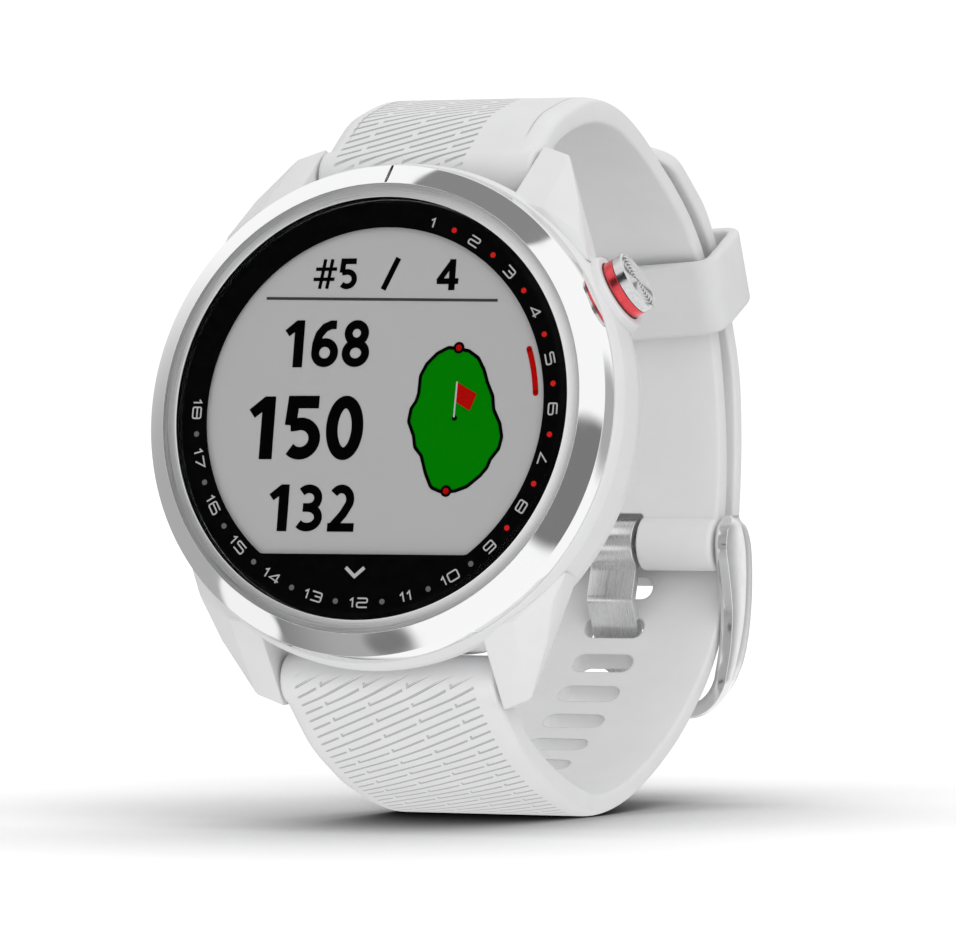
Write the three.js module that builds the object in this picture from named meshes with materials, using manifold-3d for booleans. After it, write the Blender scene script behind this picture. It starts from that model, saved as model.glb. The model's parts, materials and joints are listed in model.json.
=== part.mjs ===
// Golf GPS wristwatch standing on its closed strap loop, in millimetres with +Z up.
// The origin is the centre of the case back. The dial faces -Y and leans back by CASE_LEAN.
import * as THREE from 'three';
import { ConvexGeometry } from 'three/addons/geometries/ConvexGeometry.js';
import { mergeVertices } from 'three/addons/utils/BufferGeometryUtils.js';
import Module from 'manifold-3d';

const wasm = await Module();
wasm.setup();

// Driving dimensions. Case depths are measured from the dial towards the wrist.
const CASE_LEAN = THREE.MathUtils.degToRad(10);
const BACK_DEPTH = 10.8;
const CASE_R = 21.7;
const CAVITY_R = 17.2;
const BACK_RECESS_R = 19.3;
const BACK_RECESS_DEPTH = 8.55;
const GLASS_R = 17.95;
const WINDOW_R = 15.6;
const WINDOW_CHORD_Z = -12.36;
const LUG_INNER_X = 10.25;
const BAR_DEPTH = 8.9;
const BAR_Z = 21.8;
const BAR_R = 0.75;
const BAR_TIP_R = 0.42;
const STRAP_WIDTH = 20;
const STRAP_HEAD_R = 2.2;
const BUTTON_ANGLE = THREE.MathUtils.degToRad(30);
const BUTTON_DEPTH = 6.28;
const BUTTON_FACE_AT = 24.07;
const BUTTON_R = 2.6;
const STEM_R = 0.8;
const BACK_SCREW_AT = 18.3;
const BUCKLE_BAR = [53, -12.2];
const BUCKLE_TUBE_R = 2.45;
const ARM_INNER_X = 10.3;
const ARM_OUTER_X = 11.6;
const TONGUE_WIDTH = 4.5;
const SLOT_LENGTH = 2.2;
const SLOT_WIDTH = 5.8;
const SLOT_PITCH = 4.3;
const FIRST_SLOT_AT = 33.85;
const SLOT_COUNT = 12;
const KEEPER_CENTRE = [52.1, 10.9];
const KEEPER_TILT = THREE.MathUtils.degToRad(-65);
const RING_STEPS = 48;
const PIN_STEPS = 16;

const material = (color, roughness, metalness) =>
  new THREE.MeshStandardMaterial({ color, roughness, metalness });
const whitePolymer = material(0xe6e6e6, 0.45, 0);
const whiteSilicone = material(0xdcdcdc, 0.6, 0);
const polishedSteel = material(0xc8c8c8, 0.15, 1);
const brushedSteel = material(0xa0a0a0, 0.35, 1);
const redAnodised = material(0xb02030, 0.25, 1);
const blackGlass = material(0x0a0a0a, 0.08, 0);
const blackInk = material(0x050505, 0.6, 0);
const displayGrey = material(0xaaaaaa, 0.5, 0);
const blackRubber = material(0x1a1a1a, 0.8, 0);
const darkPlastic = material(0x2a2a2a, 0.6, 0);
const whiteFilm = material(0xf2f2f2, 0.5, 0);
const boardGreen = material(0x1f5a36, 0.5, 0);
const tinPlate = material(0xb4b4b0, 0.35, 1);
const batteryFoil = material(0x9a9aa0, 0.4, 0.8);
const goldPlate = material(0xd4a84b, 0.3, 1);

// Merges shared corners, drops slivers on the axis and makes the faces point out.
function cleanMesh(geometry) {
  const bare = new THREE.BufferGeometry();
  bare.setAttribute('position', geometry.attributes.position.clone());
  if (geometry.index) bare.setIndex(geometry.index.clone());
  const merged = mergeVertices(bare, 1e-4);
  const points = merged.attributes.position.array;
  const corner = (i) => new THREE.Vector3().fromArray(points, 3 * i);
  const triangles = [];
  let volume = 0;
  for (let i = 0; i < merged.index.count; i += 3) {
    const [a, b, c] = merged.index.array.slice(i, i + 3);
    if (a === b || b === c || c === a) continue;
    triangles.push([a, b, c]);
    volume += corner(a).dot(corner(b).cross(corner(c)));
  }
  if (volume < 0) triangles.forEach((triangle) => triangle.reverse());
  return { points, triangles: Uint32Array.from(triangles.flat()) };
}

function toSolid(geometry) {
  const { points, triangles } = cleanMesh(geometry);
  const mesh = new wasm.Mesh({ numProp: 3, vertProperties: points, triVerts: triangles });
  return new wasm.Manifold(mesh);
}

function toGeometry(solid) {
  const mesh = solid.getMesh();
  const geometry = new THREE.BufferGeometry();
  geometry.setAttribute('position', new THREE.BufferAttribute(mesh.vertProperties, 3));
  geometry.setIndex(new THREE.BufferAttribute(mesh.triVerts, 1));
  geometry.computeVertexNormals();
  return geometry;
}

function cut(geometry, cutters) {
  return toGeometry(cutters.reduce((solid, cutter) => solid.subtract(toSolid(cutter)), toSolid(geometry)));
}

function join(geometries) {
  return toGeometry(geometries.map(toSolid).reduce((sum, solid) => sum.add(solid)));
}

function addPart(parent, name, geometry, partMaterial) {
  const { points, triangles } = cleanMesh(geometry);
  const closed = new THREE.BufferGeometry();
  closed.setAttribute('position', new THREE.BufferAttribute(points, 3));
  closed.setIndex(new THREE.BufferAttribute(triangles, 1));
  closed.computeVertexNormals();
  const mesh = new THREE.Mesh(closed, partMaterial);
  mesh.name = name;
  parent.add(mesh);
  return mesh;
}

// Turned shapes: the profile is [radius, height] pairs and the axis is local Y.
function turned(profile, steps = RING_STEPS) {
  return new THREE.LatheGeometry(profile.map(([r, y]) => new THREE.Vector2(r, y)), steps);
}

function disc(radius, from, to, steps = RING_STEPS) {
  return turned([[0, from], [radius, from], [radius, to], [0, to]], steps);
}

function ring(inner, outer, from, to, steps = RING_STEPS) {
  return turned([[inner, from], [outer, from], [outer, to], [inner, to], [inner, from]], steps);
}

function alongX(geometry) {
  return geometry.rotateZ(-Math.PI / 2);
}

function crossPin(radius, fromX, toX, y, z, steps = PIN_STEPS) {
  return alongX(disc(radius, fromX, toX, steps)).translate(0, y, z);
}

function block(width, depth, height, x, y, z) {
  return new THREE.BoxGeometry(width, depth, height).translate(x, y, z);
}

// Flat plates in the dial plane: the outline is in (x, z) and the thickness runs along Y.
function plate(outline, from, to, curveSegments = 24) {
  const geometry = new THREE.ExtrudeGeometry(outline, { depth: to - from, bevelEnabled: false, curveSegments });
  const axes = new THREE.Matrix4().makeBasis(
    new THREE.Vector3(1, 0, 0), new THREE.Vector3(0, 0, 1), new THREE.Vector3(0, -1, 0));
  return geometry.applyMatrix4(axes).translate(0, to, 0);
}

// A side profile in (y, z), extruded across the strap between two X positions.
function sideProfile(points, fromX, toX) {
  const outline = new THREE.Shape(points.map(([y, z]) => new THREE.Vector2(y, z)));
  const geometry = new THREE.ExtrudeGeometry(outline, { depth: toX - fromX, bevelEnabled: false });
  const axes = new THREE.Matrix4().makeBasis(
    new THREE.Vector3(0, 1, 0), new THREE.Vector3(0, 0, 1), new THREE.Vector3(1, 0, 0));
  return geometry.applyMatrix4(axes).translate(fromX, 0, 0);
}

function roundedRectangle(target, width, height, radius) {
  const x = width / 2 - radius;
  const y = height / 2 - radius;
  target.absarc(x, y, radius, 0, Math.PI / 2);
  target.absarc(-x, y, radius, Math.PI / 2, Math.PI);
  target.absarc(-x, -y, radius, Math.PI, 1.5 * Math.PI);
  target.absarc(x, -y, radius, 1.5 * Math.PI, 2 * Math.PI);
  return target;
}

function chordDisc(radius, chordZ) {
  const start = Math.asin(chordZ / radius);
  const outline = new THREE.Shape();
  outline.absarc(0, 0, radius, start, Math.PI - start);
  return outline;
}

// One lug as a faceted wedge. sideX is +1 or -1, endZ is +1 at 12 o'clock.
function lug(sideX, endZ) {
  const corners = [
    [LUG_INNER_X, 2.7, 18.4], [LUG_INNER_X, 4.5, 20.0], [LUG_INNER_X, 8.6, 24.2],
    [13.2, 2.7, 17.6], [12.8, 8.4, 23.3], [15.1, 5.6, 19.1], [16.4, 3.4, 15.6], [16.4, 6.0, 15.6],
    [17.4, 3.4, 13.2], [17.2, 6.2, 13.2], [LUG_INNER_X, 10.9, 23.7], [12.0, 10.7, 22.9],
    [13.3, 10.2, 18.9], [14.7, 9.6, 15.4], [15.4, 9.4, 13.0],
    [LUG_INNER_X, 10.6, 16.5], [LUG_INNER_X, 3.0, 15.5],
  ];
  return new ConvexGeometry(corners.map(([x, y, z]) => new THREE.Vector3(x * sideX, y, z * endZ)));
}

function caseBody(buttonAxes) {
  const shell = turned([
    [0, 2.6], [20.4, 2.6], [20.4, 2.2], [21.35, 2.2], [CASE_R, 3.4], [CASE_R, 6.2],
    [21.15, 8.2], [20.4, 9.6], [0, 9.6],
  ]);
  const boss = disc(3.65, 18.6, 20.9, 24);
  const bossTop = turned([[0, 20.9], [3.65, 20.9], [3.35, 22.2], [0, 22.2]], 24);
  const outside = join([
    shell, lug(1, 1), lug(-1, 1), lug(1, -1), lug(-1, -1),
    boss.applyMatrix4(buttonAxes), bossTop.applyMatrix4(buttonAxes),
  ]);
  const cavity = turned([
    [0, 1], [CAVITY_R, 1], [CAVITY_R, BACK_RECESS_DEPTH], [BACK_RECESS_R, BACK_RECESS_DEPTH],
    [BACK_RECESS_R, 13], [0, 13],
  ]);
  const cutters = [
    cavity,
    disc(0.88, 15, 25, PIN_STEPS).applyMatrix4(buttonAxes),
    disc(1.5, 19.4, 21.0, PIN_STEPS).applyMatrix4(buttonAxes),
    disc(2.8, 21.45, 25, 24).applyMatrix4(buttonAxes),
  ];
  for (const end of [1, -1]) {
    cutters.push(block(2 * LUG_INNER_X, 10, 8, 0, 9.3, end * 23.45));
    cutters.push(crossPin(0.5, -11.3, 11.3, BAR_DEPTH, end * BAR_Z));
  }
  for (const [x, z] of screwPlaces()) cutters.push(disc(0.48, 5, 9, 12).translate(x, 0, z));
  return cut(outside, cutters);
}

function screwPlaces() {
  return [45, 135, 225, 315].map((degrees) => {
    const angle = THREE.MathUtils.degToRad(degrees);
    return [BACK_SCREW_AT * Math.cos(angle), BACK_SCREW_AT * Math.sin(angle)];
  });
}

function bezel() {
  const body = turned([
    [18.05, -0.5], [19.23, -0.63], [21.0, 0.66], [21.26, 2.15], [17.0, 2.15],
    [17.0, 0.65], [18.05, 0.65], [18.05, -0.5],
  ]);
  const slope = Math.atan2(1.29, 1.77);
  const notch = new THREE.BoxGeometry(0.3, 0.3, 1.55).rotateX(-slope).translate(0, 0.05, 20.16);
  return cut(body, [notch]);
}

function caseBack() {
  const body = turned([
    [0, 8.1], [16.7, 8.1], [16.7, 8.6], [19.15, 8.6], [19.15, 9.9], [18.95, 10.5], [18.4, BACK_DEPTH],
    [0, BACK_DEPTH],
  ]);
  const cutters = [block(8.2, 4, 4.2, 0, 9.4, -9)];
  for (const [x, z] of screwPlaces()) cutters.push(disc(0.52, 7, 12, 12).translate(x, 0, z));
  return cut(body, cutters);
}

function backScrew([x, z]) {
  const screw = turned([[0, 5.4], [0.4, 5.4], [0.4, 10.55], [0, 10.55]], 12);
  return cut(screw, [disc(0.2, 10.2, 11, 6)]).translate(x, 0, z);
}

function addCase(head, buttonAxes) {
  addPart(head, 'case_body', caseBody(buttonAxes), whitePolymer);
  addPart(head, 'bezel', bezel(), polishedSteel);
  addPart(head, 'bezel_gasket', ring(17.7, 20.1, 2.22, 2.53), blackRubber);
  addPart(head, 'case_back', caseBack(), whitePolymer);
  addPart(head, 'back_gasket', ring(16.78, 17.12, 8.15, 8.5), blackRubber);
  screwPlaces().forEach((place, i) => addPart(head, `back_screw_${i + 1}`, backScrew(place), brushedSteel));
}

function addDisplay(head) {
  const glass = turned([[0, -0.55], [17.6, -0.55], [GLASS_R, -0.3], [GLASS_R, 0.25], [0, 0.25]]);
  addPart(head, 'lens_glass', glass, blackGlass);
  const mask = new THREE.Shape();
  mask.absarc(0, 0, 17.9, 0, 2 * Math.PI);
  mask.holes.push(chordDisc(WINDOW_R, WINDOW_CHORD_Z));
  addPart(head, 'dial_mask', plate(mask, 0.3, 0.45), blackInk);
  addPart(head, 'lens_adhesive', ring(17.15, 17.85, 0.5, 0.6), blackRubber);
  addPart(head, 'display_panel', plate(chordDisc(16.4, -13.6), 0.7, 1.2), displayGrey);
  addPart(head, 'backlight', plate(chordDisc(16.4, -13.6), 1.3, 1.9), whiteFilm);
}

function midFrame() {
  const frame = disc(16.9, 2.8, 3.6);
  return cut(frame, [block(16, 2, 3, 0, 3.2, -11.5), block(8, 2, 5, 0, 3.2, 6)]);
}

function addElectronics(head) {
  addPart(head, 'mid_frame', midFrame(), darkPlastic);
  addPart(head, 'main_board', disc(16.6, 4.0, 4.8), boardGreen);
  addPart(head, 'shield_can', block(12, 1.5, 7, -3, 5.6, 11.2), tinPlate);
  addPart(head, 'gps_antenna', block(4, 2.2, 9, -12.4, 5.95, 0), goldPlate);
  addPart(head, 'battery', block(17, 2.8, 15, -0.5, 6.45, -1.5), batteryFoil);
  addPart(head, 'vibration_motor', disc(3.6, 5.0, 7.6, 24).translate(12.3, 0, -5.5), tinPlate);
  const contactX = [-2.7, -0.9, 0.9, 2.7];
  const contactHoles = contactX.map((x) => disc(0.63, 8, 11, 12).translate(x, 0, -9));
  addPart(head, 'charge_port', cut(block(7.9, 1.7, 3.9, 0, 9.65, -9), contactHoles), darkPlastic);
  contactX.forEach((x, i) => {
    addPart(head, `charge_contact_${i + 1}`, disc(0.55, 9, 10.42, 12).translate(x, 0, -9), goldPlate);
  });
}

// Button parts are turned about the button axis: local Y is the distance from the case axis.
function addButton(head, axes) {
  const button = new THREE.Group();
  button.applyMatrix4(axes);
  head.add(button);
  const face = BUTTON_FACE_AT;
  const cap = turned([
    [0, face - 0.88], [BUTTON_R, face - 0.88], [BUTTON_R, face - 0.15], [BUTTON_R - 0.15, face], [0, face],
  ], 24);
  addPart(button, 'button_cap', cap, brushedSteel);
  addPart(button, 'button_ring', ring(0.9, 2.62, face - 1.8, face - 0.93, 24), redAnodised);
  addPart(button, 'button_stem', disc(STEM_R, 17.3, face - 0.93, PIN_STEPS), brushedSteel);
  addPart(button, 'button_seal', ring(0.86, 1.42, 20.15, 20.85, PIN_STEPS), blackRubber);
  addPart(button, 'tactile_switch', block(2.5, 1.6, 3.2, 0, 15.8, 0), darkPlastic);
}

function quickReleaseBar(end) {
  const rod = turned([[0, -9.3], [BAR_R, -9.3], [BAR_R, 9.3], [BAR_TIP_R, 9.3], [BAR_TIP_R, 11], [0, 11]], PIN_STEPS);
  const bore = disc(0.5, -10, -4.2, PIN_STEPS);
  const slot = block(3.2, 1.5, 0.8, -6.9, 1, 0);
  return cut(alongX(rod), [alongX(bore), slot]).translate(0, BAR_DEPTH, end * BAR_Z);
}

function quickReleasePin(end) {
  const rod = alongX(disc(BAR_TIP_R, -11, -6.4, PIN_STEPS));
  const lever = block(0.7, 2.4, 0.6, -7.6, 1.3, 0);
  return join([rod, lever]).translate(0, BAR_DEPTH, end * BAR_Z);
}

function addBars(head) {
  addPart(head, 'spring_bar_upper', quickReleaseBar(1), brushedSteel);
  addPart(head, 'spring_bar_lower', quickReleaseBar(-1), brushedSteel);
  addPart(head, 'release_pin_upper', quickReleasePin(1), polishedSteel);
  addPart(head, 'release_pin_lower', quickReleasePin(-1), polishedSteel);
}

// The strap loop is laid out in (y, z) about the dial centre, unturned by the case lean.
function toLoop(depth, z) {
  const c = Math.cos(CASE_LEAN);
  const s = Math.sin(CASE_LEAN);
  return [depth * c + z * s, -depth * s + z * c];
}

// Spines list [y, z, thickness] stations from the lug end to the free end.
const LONG_SPINE = [
  [5.3, -23.8, 2.6], [6.2, -25.3, 2.4], [7.95, -27.2, 2.3], [10.1, -28.9, 2.1], [12.6, -30.3, 2],
  [15.5, -31.7, 2], [18.6, -32.85, 1.9], [22.1, -33.9, 1.9], [25.2, -34.45, 1.9], [28.8, -34.2, 1.9],
  [32.1, -33.5, 1.9], [35.5, -32.4, 1.9], [39.4, -30.8, 1.9], [43.3, -28.8, 1.9], [46.9, -26.4, 1.9],
  [50.2, -23.7, 1.9], [53.0, -20.4, 1.9], [55.3, -16.4, 1.9], [56.8, -12.3, 1.9], [57.4, -8.5, 1.9],
  [57.8, -4.0, 1.9], [57.4, 2.7, 1.9], [55.9, 7, 1.9], [51.5, 15.0, 1.9], [49.2, 17.7, 1.9],
  [46.9, 19.4, 1.8], [42.7, 22, 1.6], [39.2, 23.2, 1],
];
const SHORT_SPINE = [
  [13.1, 20.9, 2.6], [14.0, 22.3, 2.5], [15.3, 23.4, 2.4], [18.75, 24.75, 2.2], [24.4, 25.85, 2.3],
  [29.6, 25.4, 2.2], [34.3, 23.7, 2.1], [38.9, 21.2, 1.9], [42.4, 19.1, 1.9], [46.2, 16.3, 1.9],
  [49.3, 12.9, 1.9], [52.2, 6.5, 2.1], [53.6, 0.5, 2.2], [54.0, -4, 2.3], [53.8, -8, 2.4], [53.2, -11.2, 2.4],
];
const TONGUE_SPINE = [
  [52.2, -13.2, 0.9], [52.1, -15.1, 0.9], [51.3, -17.2, 0.9], [51.9, -18.9, 0.9], [53.0, -20.5, 0.9],
  [53.9, -21.9, 0.9], [54.6, -23.2, 0.9], [54.9, -24.1, 0.8],
];

// A band of varying thickness around a spine, as a closed side outline. outside is +1 or -1: the spine's
// outer side, which comes first in the outline.
function bandOutline(spine, steps, outside = 1) {
  const stations = spine.map(([y, z, thickness]) => new THREE.Vector3(y, z, thickness));
  const curve = new THREE.CatmullRomCurve3(stations, false, 'centripetal');
  const outer = [];
  const inner = [];
  for (let i = 0; i <= steps; i += 1) {
    const point = curve.getPointAt(i / steps);
    const along = curve.getTangentAt(i / steps).setZ(0).normalize();
    const half = (point.z / 2) * outside;
    outer.push([point.x + along.y * half, point.y - along.x * half]);
    inner.push([point.x - along.y * half, point.y + along.x * half]);
  }
  return { curve, outline: [...outer, ...inner.reverse()] };
}

// A strap body: the band outline across the middle, with the outer face falling away at both edges.
function strapBody(spine, steps, outside, edgeDrop) {
  const { curve, outline } = bandOutline(spine, steps, outside);
  const edge = STRAP_WIDTH / 2;
  const flat = edge - 1.5;
  const middle = outline.slice(0, steps + 1);
  const inner = outline.slice(steps + 1).reverse();
  const rings = middle.map(([y, z], i) => {
    const [innerY, innerZ] = inner[i];
    const reach = new THREE.Vector2(y - innerY, z - innerZ);
    const low = reach.clone().setLength(reach.length() - edgeDrop(i / steps));
    return [
      [-edge, innerY, innerZ], [-edge, innerY + low.x, innerZ + low.y], [-flat, y, z],
      [flat, y, z], [edge, innerY + low.x, innerZ + low.y], [edge, innerY, innerZ],
    ];
  });
  return { curve, geometry: loft(rings) };
}

// A closed skin through rings of equal length, capped at both ends.
function loft(rings) {
  const count = rings[0].length;
  const index = [];
  for (let i = 0; i < rings.length - 1; i += 1) {
    for (let j = 0; j < count; j += 1) {
      const a = i * count + j;
      const b = i * count + ((j + 1) % count);
      index.push(a, b, b + count, a, b + count, a + count);
    }
  }
  const last = (rings.length - 1) * count;
  for (let j = 1; j < count - 1; j += 1) {
    index.push(0, j + 1, j, last, last + j, last + j + 1);
  }
  const geometry = new THREE.BufferGeometry();
  geometry.setAttribute('position', new THREE.Float32BufferAttribute(rings.flat(2), 3));
  geometry.setIndex(index);
  return geometry;
}

function strapSlot(curve, distance) {
  const outline = roundedRectangle(new THREE.Shape(), SLOT_WIDTH, SLOT_LENGTH, 1);
  const geometry = new THREE.ExtrudeGeometry(outline, { depth: 4, bevelEnabled: false, curveSegments: 3 });
  const u = distance / curve.getLength();
  const place = curve.getPointAt(u);
  const along = curve.getTangentAt(u).setZ(0).normalize();
  const axes = new THREE.Matrix4().makeBasis(
    new THREE.Vector3(1, 0, 0), new THREE.Vector3(0, along.x, along.y), new THREE.Vector3(0, -along.y, along.x));
  return geometry.translate(0, 0, -2).applyMatrix4(axes).translate(0, place.x, place.y);
}

function leverSlot(end) {
  const [y, z] = toLoop(BAR_DEPTH, end * BAR_Z);
  return block(3.6, 3, 1.3, -6.9, 1.5, 0).rotateX(-CASE_LEAN).translate(0, y, z);
}

function strapHead(end) {
  const [y, z] = toLoop(BAR_DEPTH, end * BAR_Z);
  const edge = STRAP_WIDTH / 2;
  return {
    tube: crossPin(STRAP_HEAD_R, -edge, edge, y, z, 24),
    hole: crossPin(0.95, -edge - 1, edge + 1, y, z),
  };
}

function longStrap() {
  const body = strapBody(LONG_SPINE, 64, 1, () => 0.5);
  const head = strapHead(-1);
  const cutters = [head.hole, leverSlot(-1)];
  for (let i = 0; i < SLOT_COUNT; i += 1) {
    cutters.push(strapSlot(body.curve, FIRST_SLOT_AT + SLOT_PITCH * i));
  }
  return cut(join([body.geometry, head.tube]), cutters);
}

function shortStrap() {
  const body = strapBody(SHORT_SPINE, 44, -1, (part) => Math.max(0.4, 1 - 3 * part));
  const head = strapHead(1);
  const [y, z] = BUCKLE_BAR;
  const edge = STRAP_WIDTH / 2;
  const tube = crossPin(BUCKLE_TUBE_R, -edge, edge, y, z, 24);
  const tongueGap = block(5.6, 7, 7, 0, y, z - 0.8);
  const barHole = crossPin(0.9, -edge - 1, edge + 1, y, z);
  return cut(
    join([body.geometry, head.tube, tube]),
    [head.hole, leverSlot(1), tongueGap, barHole]);
}

function keeper() {
  const outline = roundedRectangle(new THREE.Shape(), 23.8, 8.8, 1.3);
  outline.holes.push(roundedRectangle(new THREE.Path(), 20.8, 5.9, 0.5));
  const geometry = new THREE.ExtrudeGeometry(outline, { depth: 7, bevelEnabled: false, curveSegments: 4 });
  const [y, z] = KEEPER_CENTRE;
  const along = new THREE.Vector3(0, Math.cos(KEEPER_TILT), Math.sin(KEEPER_TILT));
  const across = new THREE.Vector3(1, 0, 0);
  const axes = new THREE.Matrix4().makeBasis(across, along.clone().cross(across), along);
  return geometry.translate(0, 0, -3.5).applyMatrix4(axes).translate(0, y, z);
}

function buckleFrame() {
  const arm = [
    [50.55, -12.4], [50.75, -11.3], [51.5, -10.2], [52.6, -9.7], [54.4, -9.6], [56.3, -9.9], [57.6, -10.9],
    [58.4, -12.6], [58.5, -15], [58.1, -17.5], [57.2, -20], [55.7, -22.5], [54.5, -24.7], [53.4, -26.6],
    [52.6, -27.9], [51.4, -28], [50.6, -27], [50.6, -26], [51.6, -24.2], [52.2, -22], [52.3, -19.8],
    [52.1, -17.8], [51.75, -16.2], [51.3, -14.5],
  ];
  const crossbar = [
    [50.6, -26], [51.9, -25.2], [53.4, -25], [54.2, -25.2], [53.4, -26.6], [52.6, -27.9], [51.4, -28], [50.6, -27],
  ];
  const [y, z] = BUCKLE_BAR;
  const frame = join([
    sideProfile(arm, ARM_INNER_X, ARM_OUTER_X),
    sideProfile(arm, -ARM_OUTER_X, -ARM_INNER_X),
    sideProfile(crossbar, -ARM_INNER_X - 0.5, ARM_INNER_X + 0.5),
  ]);
  const cutters = [crossPin(0.5, -11.2, 11.2, y, z)];
  for (const side of [1, -1]) {
    const chamfer = new THREE.BoxGeometry(4, 12, 30).translate(2 * side, 5.6, 0);
    cutters.push(chamfer.rotateZ(0.19 * side).translate(ARM_OUTER_X * side, 55.4, -18));
  }
  const corner = 4.5;
  const outline = new THREE.Shape();
  outline.moveTo(ARM_OUTER_X, -8);
  outline.lineTo(-ARM_OUTER_X, -8);
  outline.lineTo(-ARM_OUTER_X, -28.05 + corner);
  outline.absarc(-ARM_OUTER_X + corner, -28.05 + corner, corner, Math.PI, 1.5 * Math.PI);
  outline.absarc(ARM_OUTER_X - corner, -28.05 + corner, corner, 1.5 * Math.PI, 2 * Math.PI);
  const rounded = toSolid(plate(outline, 45, 62, 5)).intersect(toSolid(cut(frame, cutters)));
  return toGeometry(rounded);
}

function buckleTongue() {
  const [y, z] = BUCKLE_BAR;
  const half = TONGUE_WIDTH / 2;
  const blade = sideProfile(bandOutline(TONGUE_SPINE, 14).outline, -half, half);
  return cut(join([blade, crossPin(2.25, -half, half, y, z, 24)]), [crossPin(0.83, -3, 3, y, z)]);
}

function buckleBar() {
  const [y, z] = BUCKLE_BAR;
  const rod = turned([
    [0, -11], [BAR_TIP_R, -11], [BAR_TIP_R, -9.9], [BAR_R, -9.9], [BAR_R, 9.9], [BAR_TIP_R, 9.9],
    [BAR_TIP_R, 11], [0, 11],
  ], PIN_STEPS);
  return alongX(rod).translate(0, y, z);
}

function addStrap(loop) {
  addPart(loop, 'strap_long', longStrap(), whiteSilicone);
  addPart(loop, 'strap_short', shortStrap(), whiteSilicone);
  addPart(loop, 'strap_keeper', keeper(), whiteSilicone);
  addPart(loop, 'buckle_bar', buckleBar(), brushedSteel);
  addPart(loop, 'buckle_frame', buckleFrame(), polishedSteel);
  addPart(loop, 'buckle_tongue', buckleTongue(), brushedSteel);
}

const watch = new THREE.Group();
const dialCentre = new THREE.Vector3(0, -BACK_DEPTH * Math.cos(CASE_LEAN), BACK_DEPTH * Math.sin(CASE_LEAN));

const head = new THREE.Group();
head.position.copy(dialCentre);
head.rotation.x = -CASE_LEAN;
watch.add(head);

const buttonAxes = new THREE.Matrix4().compose(
  new THREE.Vector3(0, BUTTON_DEPTH, 0),
  new THREE.Quaternion().setFromEuler(new THREE.Euler(0, -BUTTON_ANGLE, -Math.PI / 2)),
  new THREE.Vector3(1, 1, 1));
addCase(head, buttonAxes);
addDisplay(head);
addElectronics(head);
addButton(head, buttonAxes);
addBars(head);

const loop = new THREE.Group();
loop.position.copy(dialCentre);
watch.add(loop);
addStrap(loop);

export default watch;
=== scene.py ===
import json
import math

import bmesh
import bpy
import numpy as np
from mathutils import Matrix, Vector


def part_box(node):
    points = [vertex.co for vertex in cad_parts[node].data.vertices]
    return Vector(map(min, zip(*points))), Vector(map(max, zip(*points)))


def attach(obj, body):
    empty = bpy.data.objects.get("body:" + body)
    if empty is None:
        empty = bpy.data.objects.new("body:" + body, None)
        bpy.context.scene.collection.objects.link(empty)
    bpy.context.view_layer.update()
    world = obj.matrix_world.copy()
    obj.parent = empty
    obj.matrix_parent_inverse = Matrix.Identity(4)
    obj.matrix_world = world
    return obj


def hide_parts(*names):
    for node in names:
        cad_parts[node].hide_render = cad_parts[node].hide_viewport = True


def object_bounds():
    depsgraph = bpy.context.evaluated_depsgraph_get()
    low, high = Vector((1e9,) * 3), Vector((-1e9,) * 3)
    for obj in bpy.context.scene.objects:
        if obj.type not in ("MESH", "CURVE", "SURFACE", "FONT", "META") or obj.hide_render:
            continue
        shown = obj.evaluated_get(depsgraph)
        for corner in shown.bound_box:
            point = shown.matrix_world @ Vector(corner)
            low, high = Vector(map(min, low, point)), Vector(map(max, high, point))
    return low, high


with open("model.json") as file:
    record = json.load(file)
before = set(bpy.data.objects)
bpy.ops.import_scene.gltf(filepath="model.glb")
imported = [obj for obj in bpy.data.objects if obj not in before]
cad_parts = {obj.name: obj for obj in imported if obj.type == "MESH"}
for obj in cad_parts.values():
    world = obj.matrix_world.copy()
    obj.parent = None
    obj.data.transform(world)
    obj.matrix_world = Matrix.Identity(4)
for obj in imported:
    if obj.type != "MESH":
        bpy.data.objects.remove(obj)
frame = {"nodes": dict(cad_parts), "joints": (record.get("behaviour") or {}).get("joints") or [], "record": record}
cad_low, cad_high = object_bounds()
nodes = frame["nodes"]
record = frame["record"]
MM = 0.001

# ---------------------------------------------------------------- frames
# Each maps millimetres to the row frame.
# HEAD: the watch head, with x to 3 o'clock, y into the wrist and z to 12 o'clock.
# LOOP: about the dial centre, with z up.
# BUTTON: about the button's axis, with local y along it, pointing out.
back_mount = next(m for m in record["mounts"] if m["name"] == "case_back")
back_axis = Vector(back_mount["axis"])
BACK_DEPTH = 10.8
LEAN = math.asin(-back_axis.z)
dial_centre = -back_axis * BACK_DEPTH * MM
HEAD = Matrix.Translation(dial_centre) @ Matrix.Rotation(-LEAN, 4, "X") @ Matrix.Scale(MM, 4)
LOOP = Matrix.Translation(dial_centre) @ Matrix.Scale(MM, 4)


def centre(node):
    low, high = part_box(node)
    return (low + high) / 2


def in_head(point):
    return HEAD.inverted() @ point


def in_loop(point):
    return LOOP.inverted() @ point


press = next(j for j in frame["joints"] if j["name"] == "button_press")
out_axis = -Vector(press["axis"]).normalized()
STEM_MIDDLE = 20.22
button_origin = centre("button_stem") - out_axis * STEM_MIDDLE * MM
side_axis = back_axis
third_axis = out_axis.cross(side_axis).normalized()
BUTTON = Matrix.Identity(4)
for row in range(3):
    BUTTON[row][0] = third_axis[row]
    BUTTON[row][1] = out_axis[row]
    BUTTON[row][2] = side_axis[row]
    BUTTON[row][3] = button_origin[row]
BUTTON = BUTTON @ Matrix.Scale(MM, 4)

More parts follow.
